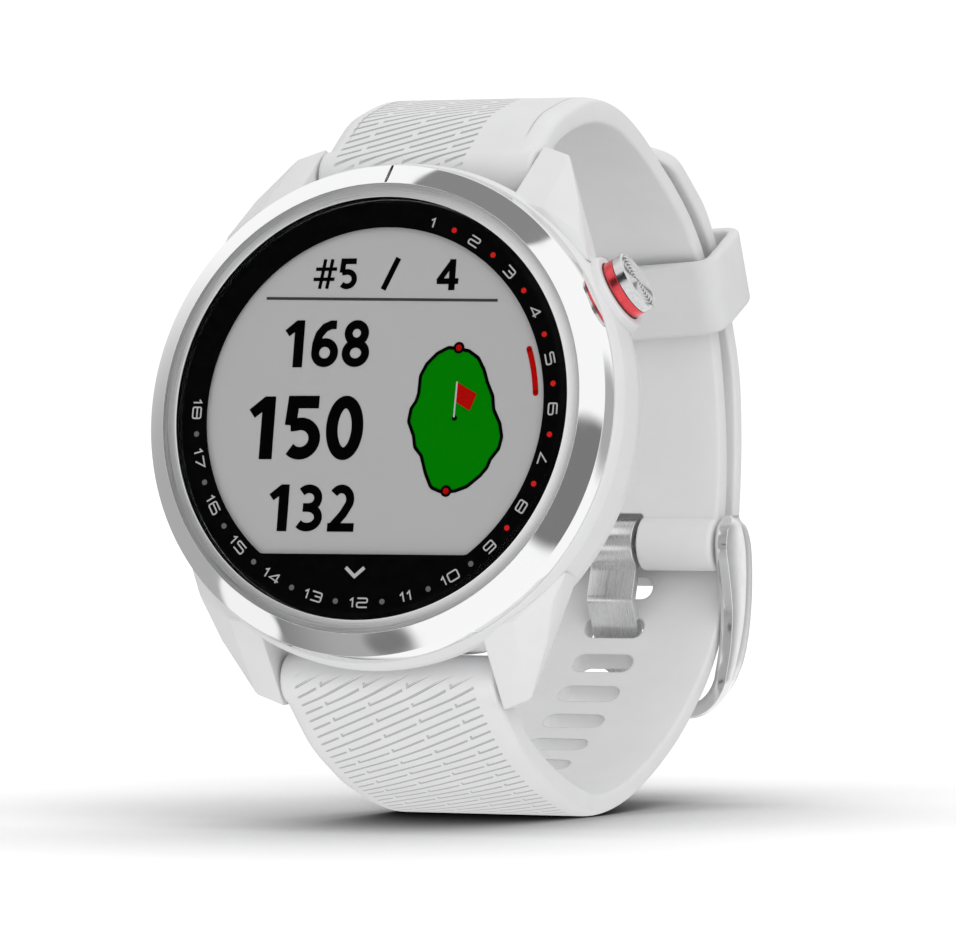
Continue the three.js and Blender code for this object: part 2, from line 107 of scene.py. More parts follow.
upper_bar = in_head(centre("spring_bar_upper"))
lower_bar = in_head(centre("spring_bar_lower"))
BUCKLE_BAR = in_loop(centre("buckle_bar"))
WIDTH = 20.0
LUG_GAP = 10.25
CAP_RADIUS, CAP_FACE = 2.6, 24.07
CAP_FIRST_GROOVE, CAP_GROOVE_PITCH = 0.36, 0.31
DIAL_PRINT, SCREEN_PRINT = 0.27, 0.67
DOT_RING = 16.5
OFF_PATTERN = -50.0


# ---------------------------------------------------------------- mesh helpers
def make(name, points, faces, matrix, uvs=None, smooth=30):
    """A mesh object. Its "along" UVs place the strap pattern, and OFF_PATTERN keeps a face clear of it."""
    mesh = bpy.data.meshes.new(name)
    mesh.from_pydata([matrix @ Vector(p) for p in points], [], faces)
    layer = mesh.uv_layers.new(name="along")
    for loop in mesh.loops:
        layer.data[loop.index].uv = uvs[loop.vertex_index] if uvs else (0, OFF_PATTERN)
    bm = bmesh.new()
    bm.from_mesh(mesh)
    bmesh.ops.remove_doubles(bm, verts=bm.verts, dist=1e-7)
    bmesh.ops.recalc_face_normals(bm, faces=bm.faces)
    bm.to_mesh(mesh)
    bm.free()
    obj = bpy.data.objects.new(name, mesh)
    bpy.context.scene.collection.objects.link(obj)
    shade(obj, smooth)
    return obj


def shade(obj, degrees=30):
    obj.data.polygons.foreach_set("use_smooth", [True] * len(obj.data.polygons))
    obj.data.set_sharp_from_angle(angle=math.radians(degrees))
    obj.data.update()


def dress(obj, body, material, slot, *stands_for):
    obj.data.materials.clear()
    obj.data.materials.append(material)
    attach(obj, body)
    if stands_for:
        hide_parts(*stands_for)
    return obj


def combine(obj, others, operation, smooth=30):
    """Joins or cuts obj with closed meshes, which are used up."""
    for other in others:
        modifier = obj.modifiers.new("combine", "BOOLEAN")
        modifier.operation = operation
        modifier.solver = "MANIFOLD"
        modifier.object = other
    graph = bpy.context.evaluated_depsgraph_get()
    graph.update()
    mesh = bpy.data.meshes.new_from_object(obj.evaluated_get(graph))
    obj.modifiers.clear()
    obj.data = mesh
    for other in others:
        bpy.data.objects.remove(other)
    shade(obj, smooth)
    return obj


def fillet(points, radius, steps=4, closed=True):
    """Rounds the corners of a polygon in the plane. radius is one number, or one for each corner."""
    count = len(points)
    radii = [radius] * count if isinstance(radius, (int, float)) else radius
    out = []
    for i, point in enumerate(points):
        here = Vector(point)
        r = radii[i]
        if r <= 0 or (not closed and i in (0, count - 1)):
            out.append(tuple(here))
            continue
        before = Vector(points[i - 1]) - here
        after = Vector(points[(i + 1) % count]) - here
        angle = before.angle(after)
        if angle > math.radians(178):
            out.append(tuple(here))
            continue
        reach = min(r / math.tan(angle / 2), 0.45 * before.length, 0.45 * after.length)
        start = here + before.normalized() * reach
        end = here + after.normalized() * reach
        for k in range(steps + 1):
            t = k / steps
            out.append(tuple(start * (1 - t) ** 2 + here * 2 * t * (1 - t) + end * t ** 2))
    return out


def lathe(name, profile, matrix, steps=192, closed=False, smooth=30):
    """Turns (radius, height) pairs about local y. An open profile starts and ends on the axis."""
    points, rings = [], []
    for radius, height in profile:
        if radius < 1e-9:
            rings.append([len(points)] * steps)
            points.append((0, height, 0))
            continue
        first = len(points)
        for k in range(steps):
            a = 2 * math.pi * k / steps
            points.append((radius * math.sin(a), height, radius * math.cos(a)))
        rings.append(list(range(first, first + steps)))
    faces = []
    pairs = list(zip(rings, rings[1:] + rings[:1])) if closed else list(zip(rings, rings[1:]))
    for lower, upper in pairs:
        for k in range(steps):
            corners = [lower[k], lower[(k + 1) % steps], upper[(k + 1) % steps], upper[k]]
            face = [c for j, c in enumerate(corners) if c != corners[j - 1]]
            if len(face) > 2:
                faces.append(face)
    return make(name, points, faces, matrix, smooth=smooth)


def rod(name, radius, low, high, matrix, steps=48, edge=0.0):
    """A solid cylinder about local y. edge is the radius of its two edges."""
    profile = [(0, low), (radius, low), (radius, high), (0, high)]
    if edge:
        profile = fillet(profile, [0, edge, edge, 0], closed=False)
    return lathe(name, profile, matrix, steps)


def along_x(y, z):
    """A frame whose local y runs along +X through (y, z)."""
    return Matrix.Translation((0, y, z)) @ Matrix.Rotation(-math.pi / 2, 4, "Z")


def loft(name, rings, matrix, uvs=None, smooth=30, caps=True):
    count = len(rings[0])
    points = [p for ring in rings for p in ring]
    faces = []
    for i in range(len(rings) - 1):
        for j in range(count):
            a, b = i * count + j, i * count + (j + 1) % count
            faces.append([a, b, b + count, a + count])
    if caps:
        faces.append(list(range(count)))
        faces.append([len(points) - 1 - k for k in range(count)])
    return make(name, points, faces, matrix, uvs, smooth)


def prism(name, outline, low, high, matrix, smooth=30):
    """A closed outline of (x, z) pairs, as thick as low to high along local y."""
    rings = [[(x, y, z) for x, z in outline] for y in (low, high)]
    return loft(name, rings, matrix, smooth=smooth)


def box(name, size, place, matrix):
    x, y, z = (s / 2 for s in size)
    cx, cy, cz = place
    outline = [(cx - x, cz - z), (cx + x, cz - z), (cx + x, cz + z), (cx - x, cz + z)]
    return prism(name, outline, cy - y, cy + y, matrix)


def rounded_box(name, size, place, matrix, radius, segments=3):
    obj = box(name, size, place, matrix)
    return bevel(obj, radius, segments)


def bevel(obj, radius, segments=3, smooth=30):
    bm = bmesh.new()
    bm.from_mesh(obj.data)
    bmesh.ops.dissolve_limit(bm, angle_limit=math.radians(1.5), verts=bm.verts, edges=bm.edges)
    edges = [e for e in bm.edges if len(e.link_faces) == 2 and e.calc_face_angle(0) > math.radians(6)]
    bmesh.ops.bevel(bm, geom=edges, offset=radius * MM, segments=segments, profile=0.5, affect="EDGES",
                    clamp_overlap=True)
    bm.to_mesh(obj.data)
    bm.free()
    shade(obj, smooth)
    return obj


def ellipse_arc(steps):
    return [(math.sin(math.pi / 2 * k / steps), math.cos(math.pi / 2 * k / steps)) for k in range(steps + 1)]


# ---------------------------------------------------------------- node helpers
class Shader:
    """A short way to write a node material."""

    def __init__(self, name, color, roughness, metallic=0.0):
        self.material = bpy.data.materials.new(name)
        self.material.use_nodes = True
        self.tree = self.material.node_tree
        self.surface = self.tree.nodes["Principled BSDF"]
        self.surface.inputs["Base Color"].default_value = (*color, 1)
        self.surface.inputs["Roughness"].default_value = roughness
        self.surface.inputs["Metallic"].default_value = metallic
        self.normal = None

    def add(self, kind, **values):
        node = self.tree.nodes.new(kind)
        for key, value in values.items():
            name = key.replace("_", " ")
            if name in node.inputs:
                self.put(node.inputs[name], value)
            else:
                setattr(node, key, value)
        return node

    def put(self, socket, value):
        if isinstance(value, bpy.types.NodeSocket):
            self.tree.links.new(value, socket)
        else:
            socket.default_value = value

    def math(self, operation, a, b=0.0, c=0.0):
        node = self.tree.nodes.new("ShaderNodeMath")
        node.operation = operation
        for socket, value in zip(node.inputs, (a, b, c)):
            self.put(socket, value)
        return node.outputs[0]

    def vector(self, operation, *inputs):
        node = self.tree.nodes.new("ShaderNodeVectorMath")
        node.operation = operation
        for socket, value in zip(node.inputs, inputs):
            self.put(socket, value)
        return node

    def ramp(self, value, low, high, to_low=0.0, to_high=1.0):
        """A smooth step of value from low to high."""
        node = self.tree.nodes.new("ShaderNodeMapRange")
        node.interpolation_type = "SMOOTHSTEP"
        for socket, v in zip(node.inputs[:5], (value, low, high, to_low, to_high)):
            self.put(socket, v)
        return node.outputs[0]

    def place(self, scale=(1, 1, 1), head=False):
        """Position in millimetres, in the row frame or in the head's frame, stretched by scale."""
        source = self.add("ShaderNodeTexCoord").outputs["Object"]
        first = self.add("ShaderNodeMapping", Vector=source, Scale=(1 / MM, 1 / MM, 1 / MM))
        if head:
            first.inputs["Rotation"].default_value = (LEAN, 0, 0)
            first.inputs["Location"].default_value = (0, BACK_DEPTH, 0)
        return self.add("ShaderNodeMapping", Vector=first.outputs[0], Scale=scale).outputs[0]

    def noise(self, where, scale, detail=3.0, roughness=0.5):
        node = self.add("ShaderNodeTexNoise", Vector=where, Scale=scale, Detail=detail, Roughness=roughness)
        return node.outputs["Fac"]

    def roughen(self, where, scale, detail, low, high):
        """Lets the roughness wander between low and high."""
        self.set(Roughness=self.ramp(self.noise(where, scale, detail), 0.3, 0.7, low, high))

    def mix(self, factor, a, b):
        node = self.tree.nodes.new("ShaderNodeMix")
        node.data_type = "RGBA"
        self.put(node.inputs["Factor"], factor)
        self.put(node.inputs["A"], (*a, 1) if isinstance(a, tuple) else a)
        self.put(node.inputs["B"], (*b, 1) if isinstance(b, tuple) else b)
        return node.outputs["Result"]

    def round_edges(self, radius):
        self.normal = self.add("ShaderNodeBevel", Radius=radius * MM, samples=4).outputs[0]
        self.put(self.surface.inputs["Normal"], self.normal)

    def bump(self, height, depth, strength=1.0):
        """height is 0 to 1 and depth is its full travel in millimetres."""
        node = self.add("ShaderNodeBump", Height=height, Distance=depth * MM, Strength=strength)
        if self.normal is not None:
            self.put(node.inputs["Normal"], self.normal)
        self.normal = node.outputs[0]
        self.put(self.surface.inputs["Normal"], self.normal)

    def set(self, **values):
        for key, value in values.items():
            self.put(self.surface.inputs[key.replace("_", " ")], value)


def vary(shader, color, amount, where, scale):
    """A faint mottle of the base colour."""
    tone = shader.noise(where, scale, 4.0)
    low = tuple(c * (1 - amount) for c in color)
    high = tuple(min(1.0, c * (1 + amount)) for c in color)
    return shader.mix(shader.ramp(tone, 0.3, 0.7), low, high)


def moulded(name, color, roughness, edge=0.25, grain=0.012):
    """Moulded plastic: faint flow mottle, fine satin grain, softened edges."""
    s = Shader(name, color, roughness)
    where = s.place()
    s.round_edges(edge)
    s.set(Base_Color=vary(s, color, 0.012, where, 0.35))
    fine = s.noise(where, 9.0, 2.0)
    s.set(Roughness=s.ramp(fine, 0.3, 0.7, roughness - 0.05, roughness + 0.06))
    s.bump(fine, grain, 0.35)
    return s.material


def metal(name, color, roughness, stretch=None, head=False, edge=0.08, depth=0.006, spread=0.08):
    """Steel or another metal. stretch squeezes the brush marks along one axis."""
    s = Shader(name, color, roughness, 1.0)
    if edge:
        s.round_edges(edge)
    where = s.place(stretch or (1, 1, 1), head)
    marks = s.noise(where, 6.0 if stretch else 1.2, 4.0, 0.65)
    s.set(Roughness=s.ramp(marks, 0.25, 0.75, max(0.02, roughness - spread), roughness + spread))
    s.set(Base_Color=vary(s, color, 0.05 if stretch else 0.015, where, 8.0 if stretch else 0.8))
    if stretch:
        s.bump(marks, depth, 0.5)
    return s.material


def printed(name, color, roughness=0.6):
    s = Shader(name, color, roughness)
    where = s.place()
    s.set(Base_Color=vary(s, color, 0.02, where, 3.0))
    s.roughen(where, 12.0, 2.0, roughness - 0.05, roughness + 0.05)
    s.set(Specular_IOR_Level=0.0)
    return s.material


GROOVE_PITCH = 1.05
COLUMN_STEP, FIRST_COLUMN = 4.03, -6.05
LEFT_LIMIT = -8.6


def strap_material(name, slope, right, first, last, crease, thick, ink_and_groove_shade, ticks):
    """Silicone with the fine diagonal grooves of the strap's outer face, in (across, along) millimetres.

    slope leans the grooves. The pattern fills from LEFT_LIMIT to right across, and from first to last along.
    crease is how far the creased line beside each edge lies from the middle, or 0 for none. thick and ink are the
    grooves' half width and the strength of the painted shade in them, and ticks is the depth of the short strokes
    that close the broken ones.
    """
    color = (0.79, 0.79, 0.795)
    s = Shader(name, color, 0.5)
    where = s.place()
    s.round_edges(0.3)
    uv = s.add("ShaderNodeUVMap", uv_map="along").outputs[0]
    split = s.add("ShaderNodeSeparateXYZ", Vector=uv)
    x, along = split.outputs[0], split.outputs[1]
    lean = math.cos(math.atan(slope))
    row = s.math("DIVIDE", s.math("MULTIPLY_ADD", x, slope, along), GROOVE_PITCH)
    shifted = s.math("ADD", row, 0.5)
    offset = s.math("MULTIPLY", s.math("SUBTRACT", s.math("FRACT", shifted), 0.5), GROOVE_PITCH * lean)
    distance = s.math("ABSOLUTE", offset)
    broken = s.math("GREATER_THAN", s.math("PINGPONG", s.math("FLOOR", shifted), 1.0), 0.5)
    column = s.math("DIVIDE", s.math("SUBTRACT", x, FIRST_COLUMN - 0.5), COLUMN_STEP)
    column = s.math("MULTIPLY", s.math("FRACT", column), COLUMN_STEP)
    gap = s.math("MULTIPLY", broken, s.math("LESS_THAN", column, 0.42))
    line = s.math("MULTIPLY", s.ramp(distance, thick, thick * 0.45), s.math("SUBTRACT", 1.0, gap))
    # The short tick that closes each broken groove.
    side = s.math("MULTIPLY", offset, -1.0 if slope > 0 else 1.0)
    tick = s.math("MULTIPLY", s.ramp(side, -0.05, 0.0), s.ramp(side, 0.34, 0.26))
    near = s.ramp(s.math("ABSOLUTE", s.math("SUBTRACT", column, 0.5)), 0.11, 0.05)
    tick = s.math("MULTIPLY", s.math("MULTIPLY", tick, near), s.math("MULTIPLY", broken, ticks))
    groove = s.math("MAXIMUM", line, tick)
    zone = s.math("MULTIPLY", s.ramp(x, LEFT_LIMIT, LEFT_LIMIT + 0.25), s.ramp(x, right, right - 0.15))
    lengthwise = s.math("MULTIPLY", s.ramp(along, first, first + 1.6), s.ramp(along, last, last - 1))
    zone = s.math("MULTIPLY", zone, lengthwise)
    groove = s.math("MULTIPLY", groove, zone)
    if crease:
        edge = s.ramp(s.math("ABSOLUTE", s.math("SUBTRACT", s.math("ABSOLUTE", x), crease)), 0.09, 0.03)
        edge = s.math("MULTIPLY", edge, s.math("MULTIPLY", s.ramp(along, 0.5, 3.0), 0.6))
        groove = s.math("MAXIMUM", groove, edge)
    saw = s.math("MULTIPLY", s.math("FRACT", row), s.math("MULTIPLY", zone, 0.12))
    grain = s.math("MULTIPLY", s.noise(where, 7.0, 2.0), 0.05)
    height = s.math("ADD", s.math("SUBTRACT", s.math("ADD", saw, grain), groove), 1.0)
    s.bump(height, 0.11, 1.0)
    base = vary(s, color, 0.012, where, 0.3)
    # Painted shade: the grooves, their ticks and the creases are darkened in the base colour as well as cut by the
    # bump.
    s.set(Base_Color=s.mix(s.math("MULTIPLY", groove, ink_and_groove_shade), base, (0.36, 0.36, 0.37)))
    s.roughen(where, 5.0, 3.0, 0.44, 0.56)
    s.set(Sheen_Weight=0.08, Sheen_Roughness=0.5)
    return s.material


def steel_bezel():
    """Mirror-polished chamfer and wall, with a brushed land inside it and painted shade in the notch at 12
    o'clock.
    """
    s = Shader("bezel_steel", (0.86, 0.86, 0.87), 0.06, 1.0)
    s.round_edges(0.05)
    where = s.place(head=True)
    split = s.add("ShaderNodeSeparateXYZ", Vector=where)
    x, depth, z = split.outputs
    radius = s.math("SQRT", s.math("ADD", s.math("MULTIPLY", x, x), s.math("MULTIPLY", z, z)))
    land = s.math("MULTIPLY", s.ramp(radius, 19.28, 19.2), s.ramp(depth, -0.3, -0.4))
    around = s.add("ShaderNodeCombineXYZ", X=s.math("DIVIDE", x, radius), Z=s.math("DIVIDE", z, radius),
                   Y=s.math("MULTIPLY", radius, 9.0))
    streaks = s.noise(around.outputs[0], 2.2, 6.0, 0.75)
    swirl = s.noise(where, 0.5, 3.0)
    land_roughness = s.ramp(streaks, 0.2, 0.8, 0.24, 0.36)
    polish = s.ramp(swirl, 0.3, 0.7, 0.03, 0.09)
    step = s.math("MULTIPLY", land, s.math("SUBTRACT", land_roughness, polish))
    s.set(Roughness=s.math("ADD", step, polish))
    tone = s.mix(s.ramp(streaks, 0.3, 0.7), (0.86, 0.86, 0.865), (0.95, 0.95, 0.955))
    steel = s.mix(land, (0.88, 0.88, 0.885), tone)
    # Painted shade: the notch at 12 o'clock is coloured near black.
    near_middle = s.math("LESS_THAN", s.math("ABSOLUTE", x), 0.11)
    mark = s.math("MULTIPLY", near_middle, s.math("GREATER_THAN", z, 19.3))
    s.set(Base_Color=s.mix(mark, steel, (0.02, 0.02, 0.02)))
    s.bump(s.math("MULTIPLY", streaks, land), 0.004, 0.5)
    return s.material


def cap_steel():
    """Turned steel, with painted shade in the grooves of the cap's face."""
    s = Shader("cap_steel", (0.6, 0.6, 0.605), 0.2, 1.0)
    source = s.add("ShaderNodeTexCoord").outputs["Object"]
    away = s.vector("SUBTRACT", source, button_origin)
    across = s.vector("CROSS_PRODUCT", away.outputs[0], out_axis)
    length = s.vector("LENGTH", across.outputs[0])
    radius = s.math("MULTIPLY", length.outputs["Value"], 1 / MM)
    half_pitch = CAP_GROOVE_PITCH / 2
    wave = s.math("PINGPONG", s.math("ADD", radius, half_pitch * 20 - CAP_FIRST_GROOVE), half_pitch)
    groove = s.math("MULTIPLY", s.ramp(wave, 0.09, 0.03), s.math("LESS_THAN", radius, 2.4))
    marks = s.noise(s.place(), 3.0, 3.0)
    steel = s.mix(s.ramp(marks, 0.3, 0.7), (0.6, 0.6, 0.605), (0.68, 0.68, 0.685))
    # Painted shade: the rings of grooves on the cap's face are coloured dark.
    s.set(Base_Color=s.mix(groove, steel, (0.2, 0.2, 0.205)))
    s.set(Roughness=s.ramp(marks, 0.3, 0.7, 0.16, 0.22))
    return s.material


def red_ring():
    s = Shader("red_anodised", (0.74, 0.08, 0.095), 0.2, 1.0)
    s.round_edges(0.05)
    where = s.place((1, 1, 1))
    marks = s.noise(s.place((3, 3, 3)), 4.0, 4.0, 0.6)
    s.set(Roughness=s.ramp(marks, 0.25, 0.75, 0.2, 0.34))
    s.set(Base_Color=vary(s, (0.74, 0.08, 0.095), 0.08, where, 2.0))
    return s.material


def cover_glass():
    """Clear glass: what is behind shows, with a faint mirror of the room."""
    s = Shader("cover_glass", (1, 1, 1), 0.02)
    tree = s.tree
    output = tree.nodes["Material Output"]
    clear = s.add("ShaderNodeBsdfTransparent", Color=(0.985, 0.985, 0.985, 1))
    where = s.place()
    mirror = s.add("ShaderNodeBsdfGlossy", Color=(1, 1, 1, 1))
    s.put(mirror.inputs["Roughness"], s.ramp(s.noise(where, 0.6, 2.0), 0.3, 0.7, 0.015, 0.04))
    glance = s.add("ShaderNodeLayerWeight", Blend=0.12)
    mix = tree.nodes.new("ShaderNodeMixShader")
    s.put(mix.inputs[0], s.math("MULTIPLY_ADD", glance.outputs["Fresnel"], 0.3, 0.002))
    s.put(mix.inputs[1], clear.outputs[0])
    s.put(mix.inputs[2], mirror.outputs[0])
    tree.links.new(mix.outputs[0], output.inputs["Surface"])
    tree.nodes.remove(s.surface)
    return s.material


def black_mask():
    s = Shader("black_mask", (0.0024, 0.0024, 0.0025), 0.6)
    where = s.place()
    s.set(Base_Color=vary(s, (0.0024, 0.0024, 0.0025), 0.2, where, 1.0))
    s.roughen(where, 8.0, 2.0, 0.5, 0.7)
    s.set(Specular_IOR_Level=0.0)
    return s.material


def screen():
    """Reflective colour screen: a flat grey with its fine pixel grid, and a faint painted glow."""
    s = Shader("screen_grey", (0.4, 0.4, 0.4), 0.5)
    where = s.place(head=True)
    split = s.add("ShaderNodeSeparateXYZ", Vector=where)
    lines = []
    for coordinate in (split.outputs[0], split.outputs[2]):
        cell = s.math("FRACT", s.math("DIVIDE", coordinate, 0.13))
        lines.append(s.ramp(s.math("ABSOLUTE", s.math("SUBTRACT", cell, 0.5)), 0.42, 0.5))
    grid = s.math("MAXIMUM", lines[0], lines[1])
    s.set(Base_Color=s.mix(s.math("MULTIPLY", grid, 0.35), (0.425, 0.425, 0.425), (0.37, 0.37, 0.375)))
    s.roughen(where, 2.0, 2.0, 0.45, 0.6)
    # Painted glow: the screen gives off a little grey light of its own.
    s.set(Specular_IOR_Level=0.1, Emission_Color=(0.4, 0.4, 0.4, 1), Emission_Strength=0.1)
    return s.material


def board():
    """Green board with faint tracks under the mask."""
    s = Shader("board_green", (0.02, 0.12, 0.05), 0.4)
    where = s.place()
    tracks = s.add("ShaderNodeTexBrick", Vector=where, Scale=0.6)
    tracks.inputs["Color1"].default_value = (0.02, 0.13, 0.05, 1)
    tracks.inputs["Color2"].default_value = (0.015, 0.1, 0.04, 1)
    tracks.inputs["Mortar"].default_value = (0.05, 0.2, 0.09, 1)
    tracks.inputs["Mortar Size"].default_value = 0.03
    s.set(Base_Color=tracks.outputs["Color"])
    s.roughen(where, 4.0, 2.0, 0.3, 0.5)
    return s.material


case_white = moulded("case_white", (0.78, 0.78, 0.785), 0.4, 0.2)
keeper_white = moulded("keeper_silicone", (0.76, 0.76, 0.765), 0.5, 0.35)
strap_long_white = strap_material("strap_silicone_long", slope=0.521, right=8.2, first=-3.4, last=31,
                                  crease=0, thick=0.11, ink_and_groove_shade=0.55, ticks=1.0)
strap_short_white = strap_material("strap_silicone_short", slope=-0.521, right=3.7, first=-3.2, last=40,
                                   crease=8.3, thick=0.17, ink_and_groove_shade=0.8, ticks=0.3)
bezel_steel = steel_bezel()
brushed = metal("brushed_steel", (0.7, 0.7, 0.705), 0.24, (6, 0.4, 0.4), edge=0.06)
brushed_turned = metal("brushed_steel_turned", (0.72, 0.72, 0.73), 0.22, (3, 3, 3), edge=0.04)
turned_steel = cap_steel()
tongue_steel = metal("tongue_steel", (0.78, 0.78, 0.78), 0.27, (1.5, 0.05, 0.05), edge=0.06, depth=0.0008,
                     spread=0.05)
buckle_steel = metal("buckle_steel", (0.8, 0.8, 0.805), 0.15, edge=0, spread=0.03)
polished = metal("polished_steel", (0.84, 0.84, 0.85), 0.11, edge=0, spread=0.03)
red = red_ring()
glass = cover_glass()
mask_black = black_mask()
screen_grey = screen()
ink_white = printed("print_white", (0.5, 0.5, 0.5))
ink_red = printed("print_red", (0.62, 0.018, 0.015))
ink_grey = printed("print_grey", (0.14, 0.14, 0.145))
ink_black = printed("screen_black", (0.0015, 0.0015, 0.0015))
ink_green = printed("screen_green", (0.001, 0.203, 0.001))
ink_screen_red = printed("screen_red", (0.42, 0.004, 0.003))
ink_rule = printed("screen_rule", (0.05, 0.05, 0.05))
rubber = moulded("black_rubber", (0.012, 0.012, 0.012), 0.7, 0.05)
dark_plastic = moulded("dark_plastic", (0.025, 0.025, 0.027), 0.5, 0.08)
film = moulded("white_film", (0.8, 0.8, 0.8), 0.4, 0.05)
board_green = board()
tin = metal("tin_plate", (0.62, 0.62, 0.6), 0.32, (4, 1, 1), edge=0.08)
foil = metal("battery_foil", (0.45, 0.45, 0.48), 0.35, (1, 1, 4), edge=0.1)
gold = metal("gold_plate", (0.83, 0.6, 0.22), 0.2, (5, 5, 5), edge=0.04)


# ---------------------------------------------------------------- case
def lug(side, end):
    """One lug, as the hull of its corners. side is 1 at 3 o'clock and end is 1 at 12 o'clock."""
    corners = [
        (LUG_GAP, 2.7, 18.4), (LUG_GAP, 4.5, 20.0), (LUG_GAP, 8.6, 24.2),
        (13.2, 2.7, 17.6), (12.8, 8.4, 23.3), (15.1, 5.6, 19.1), (16.4, 3.4, 15.6), (16.4, 6.0, 15.6),
        (17.4, 3.4, 13.2), (17.2, 6.2, 13.2), (LUG_GAP, 10.9, 23.7), (12.0, 10.7, 22.9),
        (13.3, 10.2, 18.9), (14.7, 9.6, 15.4), (15.4, 9.4, 13.0),
        (LUG_GAP, 10.6, 16.5), (LUG_GAP, 3.0, 15.5),
    ]
    mesh = bpy.data.meshes.new("lug")
    bm = bmesh.new()
    for x, y, z in corners:
        bm.verts.new(HEAD @ Vector((x * side, y, z * end)))
    hull = bmesh.ops.convex_hull(bm, input=bm.verts)
    inside = [g for g in hull["geom_interior"] + hull["geom_unused"] if isinstance(g, bmesh.types.BMVert)]
    bmesh.ops.delete(bm, geom=list(set(inside)), context="VERTS")
    bmesh.ops.recalc_face_normals(bm, faces=bm.faces)
    bm.to_mesh(mesh)
    bm.free()
    obj = bpy.data.objects.new("lug", mesh)
    bpy.context.scene.collection.objects.link(obj)
    return bevel(obj, 0.22, 3)


def build_case():
    profile = [
        (17.2, 2.6), (20.4, 2.6), (20.4, 2.2), (21.35, 2.2), (21.7, 3.4), (21.7, 6.2), (21.15, 8.2),
        (20.4, 9.6), (19.3, 9.6), (19.3, 8.55), (17.2, 8.55),
    ]
    radii = [0, 0, 0.05, 0.15, 0.5, 0.7, 0.7, 0.3, 0.1, 0, 0]
    shell = lathe("case_body_fine", fillet(profile, radii), HEAD, 192, closed=True)
    pockets = [box("pocket", (2 * LUG_GAP, 10, 8), (0, 9.3, end * 23.45), HEAD) for end in (1, -1)]
    combine(shell, pockets, "DIFFERENCE")
    boss_profile = [(0, 18.6), (3.65, 18.6), (3.65, 20.9), (3.35, 22.2), (0, 22.2)]
    boss = lathe("boss", fillet(boss_profile, [0, 0, 0.4, 0.25, 0], closed=False), BUTTON, 96)
    lugs = [lug(side, end) for side in (1, -1) for end in (1, -1)]
    combine(shell, [boss, *lugs], "UNION")
    holes = [
        rod("stem_hole", 0.88, 15, 25, BUTTON),
        rod("seal_groove", 1.5, 19.4, 21, BUTTON),
        rod("cap_recess", 2.7, 21.45, 25, BUTTON, 96),
    ]
    for bar in (upper_bar, lower_bar):
        holes.append(rod("bar_hole", 0.5, -11.3, 11.3, HEAD @ along_x(bar.y, bar.z)))
    combine(shell, holes, "DIFFERENCE", smooth=25)
    dress(shell, "watch", case_white, "white_polymer", "case_body")


def build_bezel():
    profile = [
        (18.05, -0.5), (19.23, -0.63), (21.0, 0.66), (21.26, 2.15), (17.0, 2.15), (17.0, 0.65), (18.05, 0.65),
    ]
    radii = [0.06, 0.05, 0.07, 0.1, 0, 0, 0.05]
    ring = lathe("bezel_fine", fillet(profile, radii), HEAD, 288, closed=True)
    notch = box("notch", (0.26, 0.34, 1.5), (0, 0, 0), HEAD @ Matrix.Translation((0, 0.02, 20.14))
                @ Matrix.Rotation(-math.atan2(1.29, 1.77), 4, "X"))
    combine(ring, [notch], "DIFFERENCE")
    dress(ring, "watch", bezel_steel, "polished_steel", "bezel")


def build_back():
    profile = [
        (0, 8.1), (16.7, 8.1), (16.7, 8.6), (19.15, 8.6), (19.15, 9.9), (18.95, 10.5), (18.4, BACK_DEPTH),
        (0, BACK_DEPTH),
    ]
    back = lathe("case_back_fine", fillet(profile, [0, 0, 0, 0, 0.3, 0.3, 0.3, 0], closed=False), HEAD, 192)
    cutters = [rounded_box("port", (8.2, 4, 4.2), (0, 9.4, -9), HEAD, 0.3)]
    for k in range(4):
        place = in_head(centre(f"back_screw_{k + 1}"))
        cutters.append(rod("screw_hole", 0.52, 7, 12, HEAD @ Matrix.Translation((place.x, 0, place.z))))
    rim = [(15.9, 10.68), (16.1, 10.68), (16.1, 12), (15.9, 12)]
    cutters.append(lathe("rim", rim, HEAD, 192, closed=True))
    combine(back, cutters, "DIFFERENCE")
    dress(back, "watch", case_white, "white_polymer", "case_back")


def build_button():
    top, floor, base = CAP_FACE - 0.03, CAP_FACE - 0.12, CAP_FACE - 0.88
    profile = [(0, top)]
    radius = CAP_FIRST_GROOVE - 0.11
    while radius < 2.3:
        profile += [(radius, top), (radius + 0.05, floor), (radius + 0.17, floor), (radius + 0.24, top)]
        radius += CAP_GROOVE_PITCH
    profile += [(2.42, top), (2.46, CAP_FACE + 0.01), (CAP_RADIUS, floor), (CAP_RADIUS, base), (0, base)]
    cap = lathe("button_cap_fine", profile, BUTTON, 128, smooth=20)
    dress(cap, "button", turned_steel, "brushed_steel", "button_cap")
    low, high = CAP_FACE - 1.8, CAP_FACE - 0.93
    section = fillet([(0.9, low), (2.62, low), (2.62, high), (0.9, high)], 0.05)
    ring = lathe("button_ring_fine", section, BUTTON, 128, closed=True)
    dress(ring, "button", red, "red_anodised", "button_ring")


# ---------------------------------------------------------------- dial
def polar_plate(name, outer, inner, low, high, steps=360):
    """A flat ring between two radii that are functions of the clock angle."""
    points, faces = [], []
    for k in range(steps):
        a = 2 * math.pi * k / steps
        s, c = math.sin(a), math.cos(a)
        for r, y in ((outer(a), low), (outer(a), high), (inner(a), high), (inner(a), low)):
            points.append((r * s, y, r * c))
    for k in range(steps):
        n = (k + 1) % steps
        for j in range(4):
            m = (j + 1) % 4
            faces.append([4 * k + j, 4 * k + m, 4 * n + m, 4 * n + j])
    return make(name, points, faces, HEAD)


def chorded(radius, chord):
    """A circle cut off by a level line below its middle, as a function of the clock angle."""
    def reach(angle):
        below = -math.cos(angle)
        return min(radius, chord / below) if below > 1e-3 else radius
    return reach


